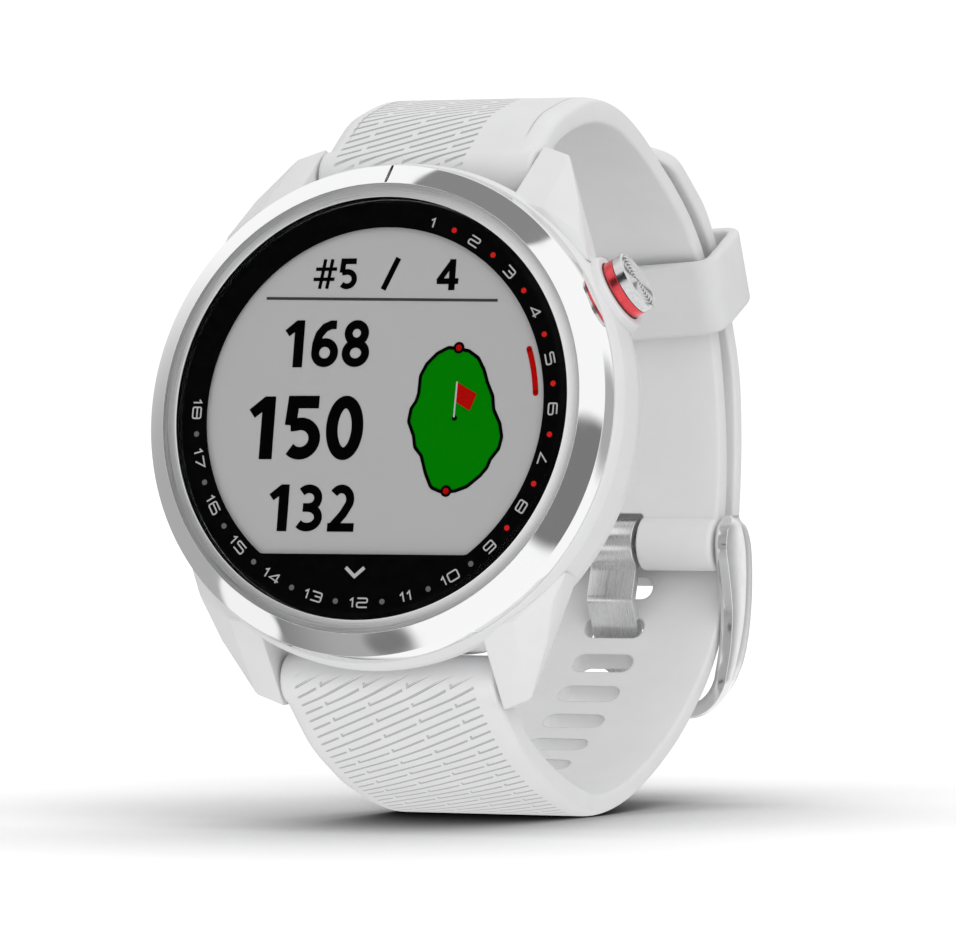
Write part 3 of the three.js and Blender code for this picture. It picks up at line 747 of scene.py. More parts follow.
def build_glass():
    profile = [(0, -0.55), (17.5, -0.55), (17.95, -0.25), (17.95, 0.25), (0, 0.25)]
    lens = lathe("lens_glass_fine", fillet(profile, [0, 0.08, 0.06, 0.03, 0], closed=False), HEAD, 256)
    dress(lens, "watch", glass, "cover_glass", "lens_glass")


def build_mask():
    ring = polar_plate("dial_mask_fine", lambda a: 17.9, chorded(15.6, 12.36), 0.3, 0.45)
    dress(ring, "watch", mask_black, "black_ink", "dial_mask")
    edge = chorded(16.4, 13.6)
    angles = np.linspace(0, 2 * math.pi, 240, endpoint=False)
    outline = [(edge(a) * math.sin(a), edge(a) * math.cos(a)) for a in angles]
    panel = prism("display_panel_fine", outline, 0.7, 1.2, HEAD)
    dress(panel, "watch", screen_grey, "display_grey", "display_panel")


# Strokes of the numbers on a box 1 wide and 0.8 high.
STROKES = {
    "0": [[(0.5, 0.8), (1, 0.8), (1, 0), (0, 0), (0, 0.8), (0.5, 0.8)]],
    "1": [[(0, 0.6), (0.26, 0.8), (0.26, 0)]],
    "2": [[(0.02, 0.8), (1, 0.8), (1, 0.42), (0, 0.42), (0, 0), (1, 0)]],
    "3": [[(0.02, 0.8), (1, 0.8), (1, 0), (0, 0)], [(0.35, 0.42), (1, 0.42)]],
    "4": [[(1, 0.2), (0, 0.2), (0.72, 0.8), (0.76, 0.8), (0.76, 0)]],
    "5": [[(1, 0.8), (0, 0.8), (0, 0.47), (1, 0.47), (1, 0), (0, 0)]],
    "6": [[(0.95, 0.8), (0, 0.8), (0, 0), (1, 0), (1, 0.45), (0.1, 0.45)]],
    "7": [[(0, 0.8), (1, 0.8), (0.35, 0)]],
    "8": [[(0.5, 0.8), (1, 0.8), (1, 0), (0, 0), (0, 0.8), (0.5, 0.8)], [(0, 0.42), (1, 0.42)]],
    "9": [[(0.05, 0), (1, 0), (1, 0.8), (0, 0.8), (0, 0.36), (0.9, 0.36)]],
}


class Ink:
    """Flat printed marks gathered into one thin mesh at one depth."""

    def __init__(self, front, thickness=0.015):
        self.front, self.back = front, front + thickness
        self.points, self.faces = [], []

    def polygon(self, outline):
        first, count = len(self.points), len(outline)
        self.points += [(x, y, z) for y in (self.front, self.back) for x, z in outline]
        self.faces.append([first + k for k in range(count)])
        self.faces.append([first + 2 * count - 1 - k for k in range(count)])
        for k in range(count):
            n = (k + 1) % count
            self.faces.append([first + k, first + n, first + count + n, first + count + k])

    def stroke(self, path, width):
        """A line of even width. A path that ends where it starts is closed."""
        path = [Vector(p) for p in path]
        closed = len(path) > 3 and (path[0] - path[-1]).length < 1e-6
        if closed:
            path.pop()
        first, count = len(self.points), len(path)
        for i, p in enumerate(path):
            before = (p - path[i - 1]).normalized() if i or closed else None
            after = (path[(i + 1) % count] - p).normalized() if closed or i < count - 1 else None
            along = ((before or after) + (after or before)).normalized()
            reach = width / 2 / max(0.5, along.dot(after or before))
            square = Vector((-along.y, along.x)) * reach
            for side in (p + square, p - square):
                self.points += [(side.x, self.front, side.y), (side.x, self.back, side.y)]
        for i in range(count if closed else count - 1):
            a, b = first + 4 * i, first + 4 * ((i + 1) % count)
            for j, k in ((0, 1), (1, 3), (3, 2), (2, 0)):
                self.faces.append([a + j, a + k, b + k, b + j])
        if not closed:
            for a in (first, first + 4 * (count - 1)):
                self.faces.append([a, a + 1, a + 3, a + 2])

    def disc(self, x, z, radius, steps=32):
        self.polygon([(x + radius * math.cos(a), z + radius * math.sin(a))
                      for a in np.linspace(0, 2 * math.pi, steps, endpoint=False)])

    def finish(self, name, material, slot):
        return dress(make(name, self.points, self.faces, HEAD), "watch", material, slot)


def build_dial_numbers():
    numbers = Ink(DIAL_PRINT)
    size, gap = 0.95, 0.42
    for hour in range(1, 19):
        angle = math.radians(15 * hour)
        turn = angle if hour <= 6 else angle - math.pi
        middle = Vector((math.sin(angle), math.cos(angle))) * 16.48
        right = Vector((math.cos(turn), -math.sin(turn)))
        up = Vector((math.sin(turn), math.cos(turn)))
        text = str(hour)
        widths = [0.26 if c == "1" else 1.0 for c in text]
        cursor = -(sum(widths) + gap * (len(text) - 1)) / 2
        for c, w in zip(text, widths):
            for stroke in STROKES[c]:
                path = fillet(stroke, 0.0 if c in "147" else 0.17, closed=False)
                path = [middle + right * size * (cursor + x) + up * size * (y - 0.4) for x, y in path]
                numbers.stroke(path, 0.125)
            cursor += w + gap
    numbers.stroke([(-1.42, -13.5), (-0.56, -14.25), (0.3, -13.5)], 0.3)
    numbers.finish("dial_numbers", ink_white, "display_grey")
    bright, dull = Ink(DIAL_PRINT), Ink(DIAL_PRINT)
    for k in range(17):
        angle = math.radians(22.5 + 15 * k)
        dots = bright if k < 8 else dull
        dots.disc(DOT_RING * math.sin(angle), DOT_RING * math.cos(angle), 0.24)
    bright.finish("dial_dots_red", ink_red, "red_anodised")
    dull.finish("dial_dots_grey", ink_grey, "display_grey")


def arc(x, z, wide, high, start, end, steps=18):
    """Points on an ellipse about (x, z), between two angles in degrees."""
    angles = np.radians(np.linspace(start, end, steps))
    return [(x + wide * math.cos(a), z + high * math.sin(a)) for a in angles]


# Bold figures for the screen, one unit high: (width, strokes, filled shapes).
FIGURES = {
    "0": (0.63, [arc(0.315, 0.5, 0.215, 0.41, 90, 450, 40)], []),
    "1": (0.44, [], [[(0.22, 0), (0.44, 0), (0.44, 1), (0.26, 1), (0, 0.79), (0.1, 0.66), (0.22, 0.75)]]),
    "2": (0.62, [arc(0.3, 0.68, 0.2, 0.23, 145, -25) + [(0.36, 0.37), (0.13, 0.1)],
                 [(0.03, 0.09), (0.62, 0.09)]], []),
    "3": (0.62, [arc(0.28, 0.71, 0.21, 0.2, 140, -85), arc(0.27, 0.3, 0.245, 0.21, 85, -140),
                 [(0.16, 0.51), (0.3, 0.51)]], []),
    "4": (0.7, [[(0.05, 0.29), (0.7, 0.29)], [(0.1, 0.29), (0.5, 0.93)]],
          [[(0.41, 0), (0.6, 0), (0.6, 1), (0.41, 1)]]),
    "5": (0.63, [[(0.57, 0.91), (0.14, 0.91), (0.11, 0.54)],
                 [(0.11, 0.54)] + arc(0.29, 0.33, 0.24, 0.235, 110, -135)], []),
    "6": (0.63, [arc(0.325, 0.31, 0.215, 0.215, 180, 540, 36),
                 [(0.56, 0.9), (0.44, 0.9), (0.3, 0.84), (0.18, 0.7), (0.12, 0.5), (0.11, 0.31)]], []),
    "8": (0.63, [arc(0.315, 0.72, 0.185, 0.185, 90, 450, 32), arc(0.315, 0.3, 0.22, 0.205, 90, 450, 32)], []),
    "#": (0.75, [[(0.22, 0.02), (0.36, 0.98)], [(0.46, 0.02), (0.6, 0.98)], [(0, 0.33), (0.7, 0.33)],
                 [(0.06, 0.66), (0.76, 0.66)]], []),
    "/": (0.6, [[(0.08, 0), (0.52, 1)]], []),
}


def figure(ink_and_groove_shade, text, low, high, weight=0.185):
    """Writes text in the box from low to high."""
    gaps = [0.17 if c == "1" else 0.085 for c in text[:-1]] + [0]
    total = sum(FIGURES[c][0] for c in text) + sum(gaps)
    wide, tall = (high[0] - low[0]) / total, high[1] - low[1]
    cursor = 0.0
    for c, gap in zip(text, gaps):
        advance, strokes, shapes = FIGURES[c]
        for path in strokes:
            ink_and_groove_shade.stroke([(low[0] + wide * (cursor + x), low[1] + tall * z) for x, z in path],
                       tall * weight * (0.62 if c == "#" else 1))
        for shape in shapes:
            ink_and_groove_shade.polygon([(low[0] + wide * (cursor + x), low[1] + tall * z) for x, z in shape])
        cursor += advance + gap


def build_screen_marks():
    """Numbers and a map in thin layers. A mark with a smaller depth lies nearer the glass."""
    numbers = Ink(SCREEN_PRINT)
    figure(numbers, "#5", (-6.63, 10.35), (-2.55, 13.0))
    figure(numbers, "/", (-0.3, 10.3), (1.4, 13.0))
    figure(numbers, "4", (4.7, 10.2), (6.84, 12.85))
    figure(numbers, "168", (-8.91, 3.65), (-0.92, 7.7))
    figure(numbers, "150", (-11.73, -4.25), (-0.95, 1.15), 0.2)
    figure(numbers, "132", (-9.24, -10.4), (-1.17, -6.4))
    numbers.finish("screen_numbers", ink_black, "black_ink")
    rule = Ink(SCREEN_PRINT)
    rule.stroke([(-10.92, 9.62), (10.59, 9.3)], 0.24)
    rule.finish("screen_rule", ink_rule, "black_ink")
    outline = [
        (7.3, 5.2), (6.4, 5.3), (5.4, 4.8), (4.5, 3.9), (4.0, 2.9), (3.95, 1.4), (3.75, 0.7), (3.35, 0.1),
        (3.2, -1.0), (3.75, -2.2), (3.95, -3.2), (4.6, -3.9), (5.1, -5.4), (5.7, -6.6), (6.6, -6.95),
        (7.9, -6.9), (9.0, -6.5), (10.1, -5.6), (10.7, -4.9), (10.95, -4.2), (11.65, -3.3), (11.85, -2.3),
        (11.6, -1.2), (10.95, 0.0), (10.75, 1.2), (10.2, 2.3), (9.8, 3.4), (9.2, 4.4), (8.3, 5.0),
    ]
    smooth = fillet(outline, 0.6, 5)
    green = Ink(0.685, 0.01)
    green.polygon(smooth)
    green.finish("screen_green_area", ink_green, "display_grey")
    edge = Ink(SCREEN_PRINT, 0.01)
    edge.stroke(smooth + smooth[:1], 0.3)
    edge.disc(7.35, 5.28, 0.5)
    edge.disc(7.1, -6.9, 0.5)
    edge.disc(7.4, -0.7, 0.24)
    edge.finish("screen_green_edge", ink_black, "black_ink")
    dots = Ink(0.655, 0.01)
    dots.disc(7.35, 5.28, 0.27)
    dots.disc(7.1, -6.9, 0.27)
    dots.polygon([(7.42, 2.35), (9.3, 1.35), (8.75, -0.1), (7.95, 0.35), (7.35, 0.75)])
    dots.finish("screen_flag", ink_screen_red, "red_anodised")
    pole = Ink(0.645, 0.01)
    pole.stroke([(7.42, 2.4), (7.35, -0.65)], 0.14)
    pole.finish("screen_flag_pole", ink_white, "display_grey")
    band = Ink(0.66, 0.01)
    radius, width = 14.72, 0.5
    path = [(radius * math.sin(a), radius * math.cos(a)) for a in np.radians(np.linspace(69.5, 84.5, 16))]
    band.stroke(path, width)
    for end in (path[0], path[-1]):
        band.disc(*end, width / 2)
    band.finish("screen_arc", ink_screen_red, "red_anodised")


# ---------------------------------------------------------------- straps
# Each station is (depth, height, thickness) on the strap's middle line, from the watch to the free end.
LONG_SPINE = [
    (5.3, -23.8, 2.6), (6.2, -25.3, 2.4), (7.95, -27.2, 2.3), (10.1, -28.9, 2.1), (12.6, -30.3, 2),
    (15.5, -31.7, 2), (18.6, -32.85, 1.9), (22.1, -33.9, 1.9), (25.2, -34.45, 1.9), (28.8, -34.2, 1.9),
    (32.1, -33.5, 1.9), (35.5, -32.4, 1.9), (39.4, -30.8, 1.9), (43.3, -28.8, 1.9), (46.9, -26.4, 1.9),
    (50.2, -23.7, 1.9), (53.0, -20.4, 1.9), (55.3, -16.4, 1.9), (56.8, -12.3, 1.9), (57.4, -8.5, 1.9),
    (57.8, -4.0, 1.9), (57.4, 2.7, 1.9), (55.9, 7, 1.9), (51.5, 15.0, 1.9), (49.2, 17.7, 1.9),
    (46.9, 19.4, 1.8), (42.7, 22, 1.6), (39.2, 23.2, 1),
]
SHORT_SPINE = [
    (13.1, 20.9, 2.6), (14.0, 22.3, 2.5), (15.3, 23.4, 2.4), (18.75, 24.75, 2.2), (24.4, 25.85, 2.3),
    (29.6, 25.4, 2.2), (34.3, 23.7, 2.1), (38.9, 21.2, 1.9), (42.4, 19.1, 1.9), (46.2, 16.3, 1.9),
    (49.3, 12.9, 1.9), (52.2, 6.5, 2.1), (53.6, 0.5, 2.2), (54.0, -4, 2.3), (53.8, -8, 2.4),
    (53.2, -11.2, 2.4),
]
FIRST_SLOT, SLOT_PITCH, SLOT_COUNT = 33.85, 4.3, 12
TUBE_END = 9.97


def spline(stations, step):
    """Stations joined by a centripetal Catmull-Rom curve, at even steps, with the curve's direction."""
    p = [np.array(s, float) for s in stations]
    p = [2 * p[0] - p[1]] + p + [2 * p[-1] - p[-2]]
    dense = []
    for a, b, c, d in zip(p, p[1:], p[2:], p[3:]):
        t1 = np.linalg.norm(b - a) ** 0.5
        t2 = t1 + np.linalg.norm(c - b) ** 0.5
        t3 = t2 + np.linalg.norm(d - c) ** 0.5
        for t in np.linspace(t1, t2, 24, endpoint=False):
            a1 = (t1 - t) / t1 * a + t / t1 * b
            a2 = (t2 - t) / (t2 - t1) * b + (t - t1) / (t2 - t1) * c
            a3 = (t3 - t) / (t3 - t2) * c + (t - t2) / (t3 - t2) * d
            b1 = (t2 - t) / t2 * a1 + t / t2 * a2
            b2 = (t3 - t) / (t3 - t1) * a2 + (t - t1) / (t3 - t1) * a3
            dense.append((t2 - t) / (t2 - t1) * b1 + (t - t1) / (t2 - t1) * b2)
    dense = np.array(dense + [p[-2]])
    lengths = np.r_[0, np.cumsum(np.linalg.norm(np.diff(dense, axis=0), axis=1))]
    s = np.linspace(0, lengths[-1], int(round(lengths[-1] / step)) + 1)
    q = np.column_stack([np.interp(s, lengths, dense[:, k]) for k in range(dense.shape[1])])
    t = np.gradient(q[:, :2], axis=0)
    return s, q, t / np.linalg.norm(t, axis=1)[:, None]


def strap_section(half, drop, share):
    """(across, height, is_outer) round the strap. share narrows it towards the tip."""
    edge, lip, under = WIDTH / 2, 1.6, 0.3
    drop = min(drop, 1.2 * half)
    right = [(edge - lip + lip * s, half - drop * (1 - c), True) for s, c in ellipse_arc(7)]
    right += [(edge - under * (1 - c), -half + under * (1 - s), False) for s, c in ellipse_arc(4)]
    across = [(x, half, True) for x in np.linspace(-edge + lip, edge - lip, 9)[1:-1]]
    left = [(-x, h, o) for x, h, o in reversed(right)]
    below = [(x, -half, False) for x in np.linspace(edge - under, -edge + under, 7)[1:-1]]
    return [(x * share, h, o) for x, h, o in left + across + right + below]


def strap_band(name, spine, outside, drop, tip, head):
    """A strap along a spine. Its outer face starts round the tube at head and runs tangent to it.

    outside is 1 or -1, the side of the spine that the outer face lies on. drop is how far the outer edges are
    rounded off, as a function of the share of the length, and tip is the length of the rounded free end.
    """
    s, q, t = spline(spine, 0.3)
    normals = np.column_stack([t[:, 1], -t[:, 0]]) * outside
    outer = q[:, :2] + normals * q[:, 2:] / 2
    inner = q[:, :2] - normals * q[:, 2:] / 2
    join = int(np.searchsorted(s, 5.5))
    reach = 2.23
    away = outer[join] - head
    base = math.atan2(away[1], away[0])
    swing = math.acos(reach / np.linalg.norm(away))
    choices = [base + swing, base - swing]
    start = max(choices, key=lambda a: float(np.dot((math.cos(a), math.sin(a)), normals[0])))
    way = 1 if start == choices[0] else -1
    stations = []
    for k in range(12, 0, -1):
        a = start + way * math.radians(8) * k
        stations.append((head + reach * np.array((math.cos(a), math.sin(a))),
                         head + (inner[0] - head) * (0.9 - 0.06 * k)))
    first = head + reach * np.array((math.cos(start), math.sin(start)))
    gap = np.linalg.norm(outer[join] - first)
    leave = np.array((math.sin(start), -math.cos(start))) * way * gap
    arrive = t[join] * gap
    for k in range(18):
        u = k / 18
        point = ((2 * u ** 3 - 3 * u ** 2 + 1) * first + (u ** 3 - 2 * u ** 2 + u) * leave
                 + (3 * u ** 2 - 2 * u ** 3) * outer[join] + (u ** 3 - u ** 2) * arrive)  # Hermite curve
        stations.append((point, [np.interp(u * join, np.arange(len(s)), inner[:, j]) for j in (0, 1)]))
    stations += list(zip(outer[join:], inner[join:]))
    outside_points = np.array([o for o, _ in stations])
    along = np.r_[0, np.cumsum(np.linalg.norm(np.diff(outside_points, axis=0), axis=1))]
    along += s[join] - along[len(stations) - len(s) + join]
    rings, uvs = [], []
    for (high, low), distance in zip(stations, along):
        high, low = np.array(high), np.array(low)
        half = np.linalg.norm(high - low) / 2
        middle, up = (high + low) / 2, (high - low) / (2 * half)
        left = along[-1] - distance
        share = 1.0
        if tip and left < tip:
            share = 0.62 + 0.38 * math.sqrt(max(0.0, 1 - (1 - left / tip) ** 2))
        ring = []
        for x, height, is_outer in strap_section(half, drop(max(0.0, distance) / along[-1]), share):
            ring.append((x, middle[0] + up[0] * height, middle[1] + up[1] * height))
            uvs.append((x, distance if is_outer else OFF_PATTERN))
        rings.append(ring)
    return loft(name, rings, LOOP, uvs), s, q, t


def slot_cutter(place, direction):
    """A slot with round ends, square to the strap at one place on its middle line."""
    outline = []
    for cx, cz, start in ((1.9, 0.1, 0), (-1.9, 0.1, 90), (-1.9, -0.1, 180), (1.9, -0.1, 270)):
        for k in range(7):
            a = math.radians(start + 15 * k)
            outline.append((cx + math.cos(a), cz + math.sin(a)))
    dy, dz = direction
    axes = Matrix(((1, 0, 0, 0), (0, dz, dy, place[0]), (0, -dy, dz, place[1]), (0, 0, 0, 1)))
    return prism("slot", outline, -2, 2, LOOP @ axes)


def head_pieces(bar):
    """The tube round a spring bar, and what is cut from it: the bore and the release lever's window."""
    frame_here = HEAD @ along_x(bar.y, bar.z)
    tube = rod("tube", 2.2, -TUBE_END, TUBE_END, frame_here, 96, edge=0.35)
    bore = rod("bore", 0.95, -11, 11, frame_here)
    lever = box("lever", (3.6, 3, 1.3), (-6.9, bar.y + 1.5, bar.z), HEAD)
    return tube, [bore, lever]


def build_long_strap():
    head = in_loop(centre("spring_bar_lower"))
    band, s, q, t = strap_band("strap_long_fine", LONG_SPINE, 1, lambda part: 0.55, 5.0,
                               np.array((head.y, head.z)))
    tube, cutters = head_pieces(lower_bar)
    combine(band, [tube], "UNION")
    for k in range(SLOT_COUNT):
        here = FIRST_SLOT + SLOT_PITCH * k
        place = [np.interp(here, s, q[:, j]) for j in (0, 1)]
        along = [np.interp(here, s, t[:, j]) for j in (0, 1)]
        cutters.append(slot_cutter(place, along))
    combine(band, cutters, "DIFFERENCE")
    dress(band, "watch", strap_long_white, "white_silicone", "strap_long")


def build_short_strap():
    head = in_loop(centre("spring_bar_upper"))
    band, _, _, _ = strap_band("strap_short_fine", SHORT_SPINE, -1, lambda part: max(0.5, 1.1 - 3 * part), 0,
                               np.array((head.y, head.z)))
    tube, cutters = head_pieces(upper_bar)
    y, z = BUCKLE_BAR.y, BUCKLE_BAR.z
    end_tube = rod("end_tube", 2.45, -TUBE_END, TUBE_END, LOOP @ along_x(y, z), 96, edge=0.5)
    combine(band, [tube, end_tube], "UNION")
    cutters.append(rounded_box("tongue_gap", (5.6, 7, 7), (0, y, z - 0.8), LOOP, 0.3))
    cutters.append(rod("bore", 0.9, -11, 11, LOOP @ along_x(y, z)))
    combine(band, cutters, "DIFFERENCE")
    dress(band, "watch", strap_short_white, "white_silicone", "strap_short")


def build_keeper():
    low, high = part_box("strap_keeper")
    middle = in_loop((low + high) / 2)
    tilt = math.radians(-65)
    along = Vector((0, math.cos(tilt), math.sin(tilt)))
    square = along.cross(Vector((1, 0, 0)))
    half_x, half_n, half_width, wall = 11.9, 4.4, 3.5, 1.15
    skew = math.tan(math.radians(4))
    corners = [(half_x, half_n), (-half_x, half_n), (-half_x, -half_n), (half_x, -half_n)]
    path = fillet(corners, 2.2, 8)
    section = [(-half_width, 0), (half_width, 0), (half_width, -wall), (-half_width, -wall)]
    section = fillet(section, [0.55, 0.55, 0.35, 0.35], 4)
    rings = []
    for i, p in enumerate(path):
        before = Vector(p) - Vector(path[i - 1])
        after = Vector(path[(i + 1) % len(path)]) - Vector(p)
        direction = (before.normalized() + after.normalized()).normalized()
        outward = Vector((direction.y, -direction.x))
        if outward.dot(Vector(p)) < 0:
            outward = -outward
        ring = []
        for w, h in section:
            flat = Vector(p) + outward * h
            point = middle + Vector((flat.x, 0, 0)) + square * flat.y + along * (w - skew * flat.x)
            ring.append(tuple(point))
        rings.append(ring)
    rings.append(rings[0])
    band = loft("strap_keeper_fine", rings, LOOP, caps=False)
    dress(band, "keeper", keeper_white, "white_silicone", "strap_keeper")


# ---------------------------------------------------------------- buckle
def build_buckle_frame():
    """A bent bar in a U. Each place on an arm is (height, inner edge, facet line, outer edge, thickness)."""
    arm = [
        (-9.62, 53.1, 53.6, 54.6, 0.5), (-9.75, 52.3, 53.75, 56.0, 0.85), (-10.3, 51.4, 54.1, 57.5, 1),
        (-11.3, 50.8, 54.8, 58.5, 1), (-12.6, 50.6, 55.3, 59.1, 1), (-14.5, 51.3, 55.5, 59.3, 1),
        (-16.4, 51.85, 55.4, 59.3, 1), (-18.1, 52.2, 55.2, 59.1, 1), (-19.9, 52.1, 54.7, 58.7, 1),
        (-21.7, 51.7, 53.8, 58.0, 1), (-23.3, 51.0, 52.9, 57.0, 1),
    ]
    corner = [(50.7, 52.1, 56.0), (50.5, 51.7, 55.2), (50.5, 51.5, 54.6), (50.5, 51.45, 54.2)]
    radius, low, half_wall = 4.2, -28.0, 0.65
    middle_x = (10.3 + 11.6) / 2
    stations = []
    for z, inner, facet, outer, share in arm:
        stations.append((middle_x, z, 1.0, 0.0, inner, facet, outer, share))
    turn_x, turn_z = middle_x - radius + half_wall, low + radius
    r = radius - half_wall
    for k in range(1, 9):
        a = math.pi / 2 * k / 8
        where = k / 8 * (len(corner) - 1)
        base = int(min(where, len(corner) - 2))
        f = where - base
        inner, facet, outer = (corner[base][j] * (1 - f) + corner[base + 1][j] * f for j in range(3))
        stations.append((turn_x + r * math.cos(a), turn_z - r * math.sin(a), math.cos(a), -math.sin(a),
                         inner, facet, outer, 1))
    mirrored = [(-x, z, -nx, nz, inner, facet, outer, share)
                for x, z, nx, nz, inner, facet, outer, share in reversed(stations)]
    flat = np.array(stations + mirrored)
    step = np.r_[0, np.cumsum(np.linalg.norm(np.diff(flat[:, :2], axis=0), axis=1))]
    fine = np.linspace(0, step[-1], 220)
    values = np.column_stack([np.interp(fine, step, flat[:, k]) for k in range(8)])
    for k in range(4, 7):
        padded = np.r_[[values[0, k]] * 3, values[:, k], [values[-1, k]] * 3]
        values[:, k] = np.convolve(padded, np.ones(7) / 7, "valid")
    rings = []
    for x, z, nx, nz, inner, facet, outer, share in values:
        normal = Vector((nx, nz)).normalized()
        t = half_wall * share
        section = [(-t, inner + 0.35 * share), (-t + 0.42 * share, inner), (t, inner), (t, facet),
                   (-t + 0.35 * share, outer), (-t, outer)]
        radii = [0.08, 0.06, 0.1, 0.3, 0.12, 0.12]
        ring = []
        for offset, y in fillet(section, radii, 3):
            ring.append((x + normal.x * offset, y, z + normal.y * offset))
        rings.append(ring)
    frame_piece = loft("buckle_frame_fine", rings, LOOP)
    y, z = BUCKLE_BAR.y, BUCKLE_BAR.z
    hole = rod("hole", 0.5, -11.2, 11.2, LOOP @ along_x(y, z))
    combine(frame_piece, [hole], "DIFFERENCE")
    dress(frame_piece, "buckle_frame", buckle_steel, "polished_steel", "buckle_frame")


TONGUE_BENDS = [
    (52.35, -12.6), (52.25, -14.75), (51.35, -17.25), (53.45, -21.2), (54.65, -23.3), (54.9, -24.1),
]


def build_tongue():
    half, thick, tip = 2.25, 0.9, 1.2
    path = [Vector(p) for p in fillet(TONGUE_BENDS, 0.5, 5, closed=False)]
    rings = []
    for i, p in enumerate(path):
        ahead = path[min(i + 1, len(path) - 1)] - path[max(i - 1, 0)]
        normal = Vector((ahead.y, -ahead.x)).normalized()
        left = (path[-1] - p).length
        share = 1.0 if left > tip else 0.55 + 0.45 * math.sqrt(max(0.0, 1 - (1 - left / tip) ** 2))
        wide, deep = half * share, thick / 2
        outline = [(-wide, -deep), (wide, -deep), (wide, deep), (-wide, deep)]
        rings.append([(x, p.x + normal.x * h, p.y + normal.y * h) for x, h in fillet(outline, 0.1, 3)])
    blade = loft("buckle_tongue_fine", rings, LOOP)
    y, z = BUCKLE_BAR.y, BUCKLE_BAR.z
    eye = rod("eye", 2.25, -half, half, LOOP @ along_x(y, z), 96, edge=0.15)
    combine(blade, [eye], "UNION")
    bore = rod("bore", 0.83, -3, 3, LOOP @ along_x(y, z))
    combine(blade, [bore], "DIFFERENCE")
    dress(blade, "buckle_tongue", tongue_steel, "brushed_steel", "buckle_tongue")


# ---------------------------------------------------------------- parts kept from the frame
def finish_kept_parts():
    looks = {
        "bezel_gasket": rubber, "back_gasket": rubber, "lens_adhesive": rubber, "button_seal": rubber,
        "backlight": film, "mid_frame": dark_plastic, "main_board": board_green, "shield_can": tin,
        "gps_antenna": gold, "battery": foil, "vibration_motor": tin, "charge_port": dark_plastic,
        "button_stem": brushed_turned, "tactile_switch": dark_plastic, "spring_bar_upper": brushed,
        "spring_bar_lower": brushed, "release_pin_upper": polished, "release_pin_lower": polished,
        "buckle_bar": brushed,
    }
    for k in range(4):
        looks[f"back_screw_{k + 1}"] = brushed_turned
        looks[f"charge_contact_{k + 1}"] = gold
    for name, material in looks.items():
        obj = nodes[name]
        obj.data.materials.clear()
        obj.data.materials.append(material)
        shade(obj, 35)


build_case()
build_bezel()
build_back()
build_button()
build_glass()
build_mask()
build_dial_numbers()
build_screen_marks()
build_long_strap()
build_short_strap()
build_keeper()
build_buckle_frame()
build_tongue()
finish_kept_parts()


# ---------------------------------------------------------------- studio
# The contact shadow reaches this far in metres, fades by this power, and ends in burnt-out white.
SHADOW_REACH, SHADOW_POWER, PAPER_WHITE = 0.06, 1.7, 1.27


def build_floor():
    level = cad_low.z
    mesh = bpy.data.meshes.new("floor")
    reach = 6.0
    points = [(-reach, -reach, level), (reach, -reach, level), (reach, reach, level), (-reach, reach, level)]
    mesh.from_pydata(points, [], [(0, 1, 2, 3)])
    floor = bpy.data.objects.new("floor", mesh)
    bpy.context.scene.collection.objects.link(floor)
    s = Shader("floor_paper", (0.8, 0.8, 0.8), 0.9)
    paper = vary(s, (0.8, 0.8, 0.8), 0.003, s.place(), 0.02)
    # Seen directly the paper is burnt out to white, as behind a product on a light table.
    open_sky = s.tree.nodes.new("ShaderNodeAmbientOcclusion")
    open_sky.samples = 16
    s.put(open_sky.inputs["Distance"], SHADOW_REACH)
    shade_level = s.math("MULTIPLY", s.math("POWER", open_sky.outputs["AO"], SHADOW_POWER), PAPER_WHITE)
    shade_color = s.add("ShaderNodeCombineColor", Red=shade_level, Green=shade_level, Blue=shade_level)
    bright = s.add("ShaderNodeBsdfDiffuse", Color=shade_color.outputs[0])
    seen = s.add("ShaderNodeLightPath").outputs["Is Camera Ray"]
    plain = s.add("ShaderNodeBsdfDiffuse", Color=paper)
    mix = s.tree.nodes.new("ShaderNodeMixShader")
    for socket, value in zip(mix.inputs, (seen, plain.outputs[0], bright.outputs[0])):
        s.put(socket, value)
    s.tree.links.new(mix.outputs[0], s.tree.nodes["Material Output"].inputs["Surface"])
    s.tree.nodes.remove(s.surface)
    floor.data.materials.append(s.material)
    # The floor takes the shadow but does not shade the watch, as with a cut-out product picture.
    floor.visible_glossy = False
    floor.visible_diffuse = False
    floor.visible_shadow = False


def soft_light(name, towards, power, spread):
    """A broad light far away in one direction. It lights surfaces and shows in no mirror."""
    light = bpy.data.lights.new(name, "SUN")
    light.energy = power
    light.angle = math.radians(spread)
    obj = bpy.data.objects.new(name, light)
    obj.rotation_euler = Vector(towards).to_track_quat("Z", "Y").to_euler()
    obj.visible_glossy = False
    bpy.context.scene.collection.objects.link(obj)


# Levels of plain white: as seen and mirrored, and as it lights rough surfaces.
ROOM_WHITE, ROOM_LIGHT = 1.05, 0.54
# What polished metal mirrors: (direction, half angle of the core, half angle of the rim, level in the core).
DARK_CARDS = [
    ((-0.33, -0.865, 0.375), 14, 19, 0.02),
    ((-0.409, -0.912, -0.02), 8, 14, 0.3),
    ((0.0, -0.125, 0.985), 18, 20, 0.25),
    ((0.7, -0.71, -0.1), 17, 22, 0.2),
    ((-0.47, -0.505, -0.715), 18, 23, 0.4),
    ((-0.27, -0.6, -0.755), 3, 8, 0.5),
    ((-0.97, -0.05, -0.24), 12, 50, 0.42),
    ((0.66, 0.75, 0.0), 8, 18, 0.42),
    ((-0.5, 0.78, -0.35), 8, 22, 0.15),
    ((0.03, 0.98, 0.18), 12, 22, 0.42),
]
BRIGHT_CARDS = [
    ((-0.82, -0.26, -0.5), 8, 11, 1.0),
]


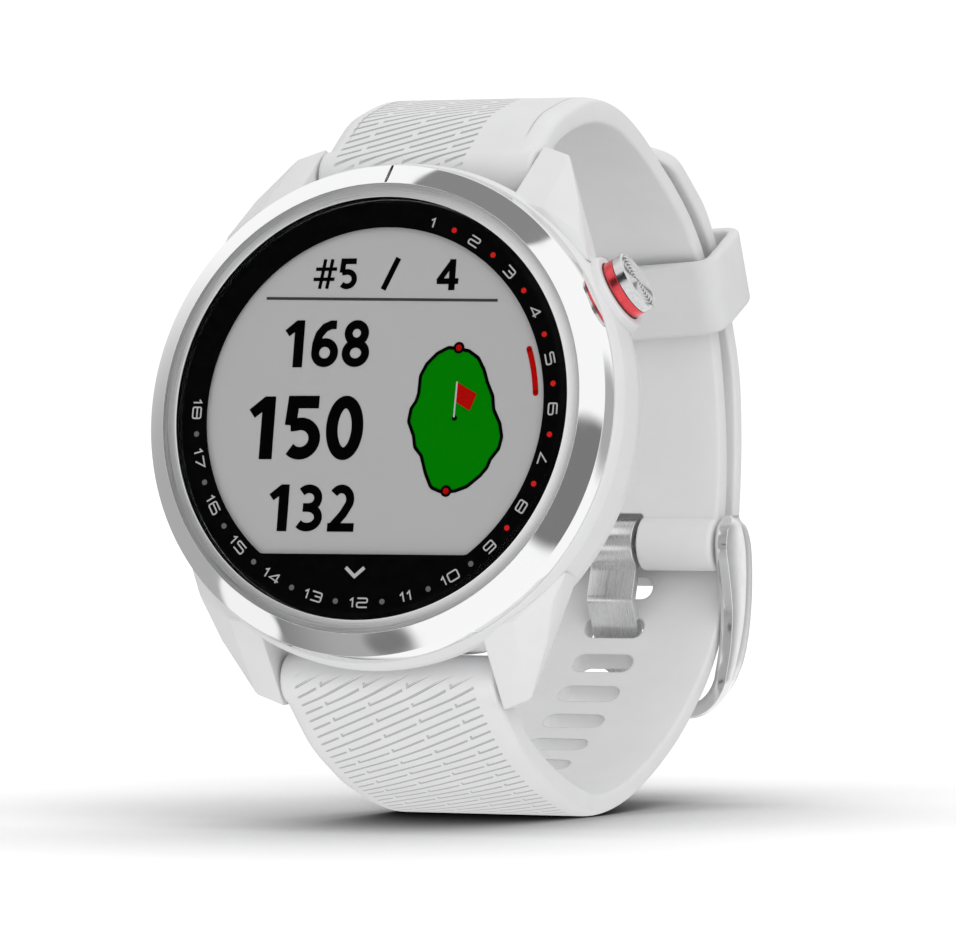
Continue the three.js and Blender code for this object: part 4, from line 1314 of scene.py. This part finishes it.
def build_room():
    """A white room. What metal mirrors is the room with dark and bright cards in it."""
    world = bpy.data.worlds.new("room")
    bpy.context.scene.world = world
    world.use_nodes = True
    tree = world.node_tree
    tree.nodes.clear()
    link = tree.links.new

    def add(kind, operation, *inputs):
        node = tree.nodes.new(kind)
        if operation:
            node.operation = operation
        for socket, value in zip(node.inputs, inputs):
            if isinstance(value, bpy.types.NodeSocket):
                link(value, socket)
            else:
                socket.default_value = value
        return node

    direction = add("ShaderNodeTexCoord", None).outputs["Generated"]

    def lobe(towards, core, rim, outside, inside):
        dot = add("ShaderNodeVectorMath", "DOT_PRODUCT", direction, Vector(towards).normalized())
        step = tree.nodes.new("ShaderNodeMapRange")
        step.interpolation_type = "SMOOTHSTEP"
        link(dot.outputs["Value"], step.inputs[0])
        for socket, value in zip(step.inputs[1:5], (math.cos(math.radians(rim)), math.cos(math.radians(core)),
                                                    outside, inside)):
            socket.default_value = value
        return step.outputs[0]

    level = ROOM_WHITE
    for towards, core, rim, left in DARK_CARDS:
        level = add("ShaderNodeMath", "MULTIPLY", level, lobe(towards, core, rim, 1.0, left)).outputs[0]
    for towards, core, rim, bright in BRIGHT_CARDS:
        level = add("ShaderNodeMath", "MAXIMUM", level, lobe(towards, core, rim, 0.0, bright)).outputs[0]
    path = add("ShaderNodeLightPath", None)
    white = (1, 1, 1, 1)
    mirrored = add("ShaderNodeBackground", None, white, level)
    plain = add("ShaderNodeBackground", None, white, ROOM_LIGHT)
    seen = add("ShaderNodeBackground", None, white, ROOM_WHITE)
    glossy, camera = path.outputs["Is Glossy Ray"], path.outputs["Is Camera Ray"]
    first = add("ShaderNodeMixShader", None, glossy, plain.outputs[0], mirrored.outputs[0])
    second = add("ShaderNodeMixShader", None, camera, first.outputs[0], seen.outputs[0])
    output = tree.nodes.new("ShaderNodeOutputWorld")
    link(second.outputs[0], output.inputs["Surface"])


def build_camera():
    """The photograph's view: azimuth 24 degrees, almost level, from 0.6 m with a long lens."""
    data = bpy.data.cameras.new("camera")
    data.lens = 263.6
    data.sensor_width = 36
    data.clip_start, data.clip_end = 0.01, 50
    camera = bpy.data.objects.new("camera", data)
    camera.location = (0.2488, -0.54384, 0.001125)
    forward = Vector((-0.409, 0.9125, -0.0076)).normalized()
    camera.rotation_euler = forward.to_track_quat("-Z", "Y").to_euler()
    bpy.context.scene.collection.objects.link(camera)
    bpy.context.scene.camera = camera


build_floor()
build_room()
soft_light("key", (0.66, -0.45, 0.5), 1.1, 60)
soft_light("fill", (-0.35, -0.85, -0.1), 0.35, 60)
soft_light("under", (0.1, -0.6, -0.8), 0.9, 60)
soft_light("over", (0.1, 0.3, 0.95), 0.5, 60)
build_camera()
bpy.context.scene.view_settings.view_transform = "Standard"
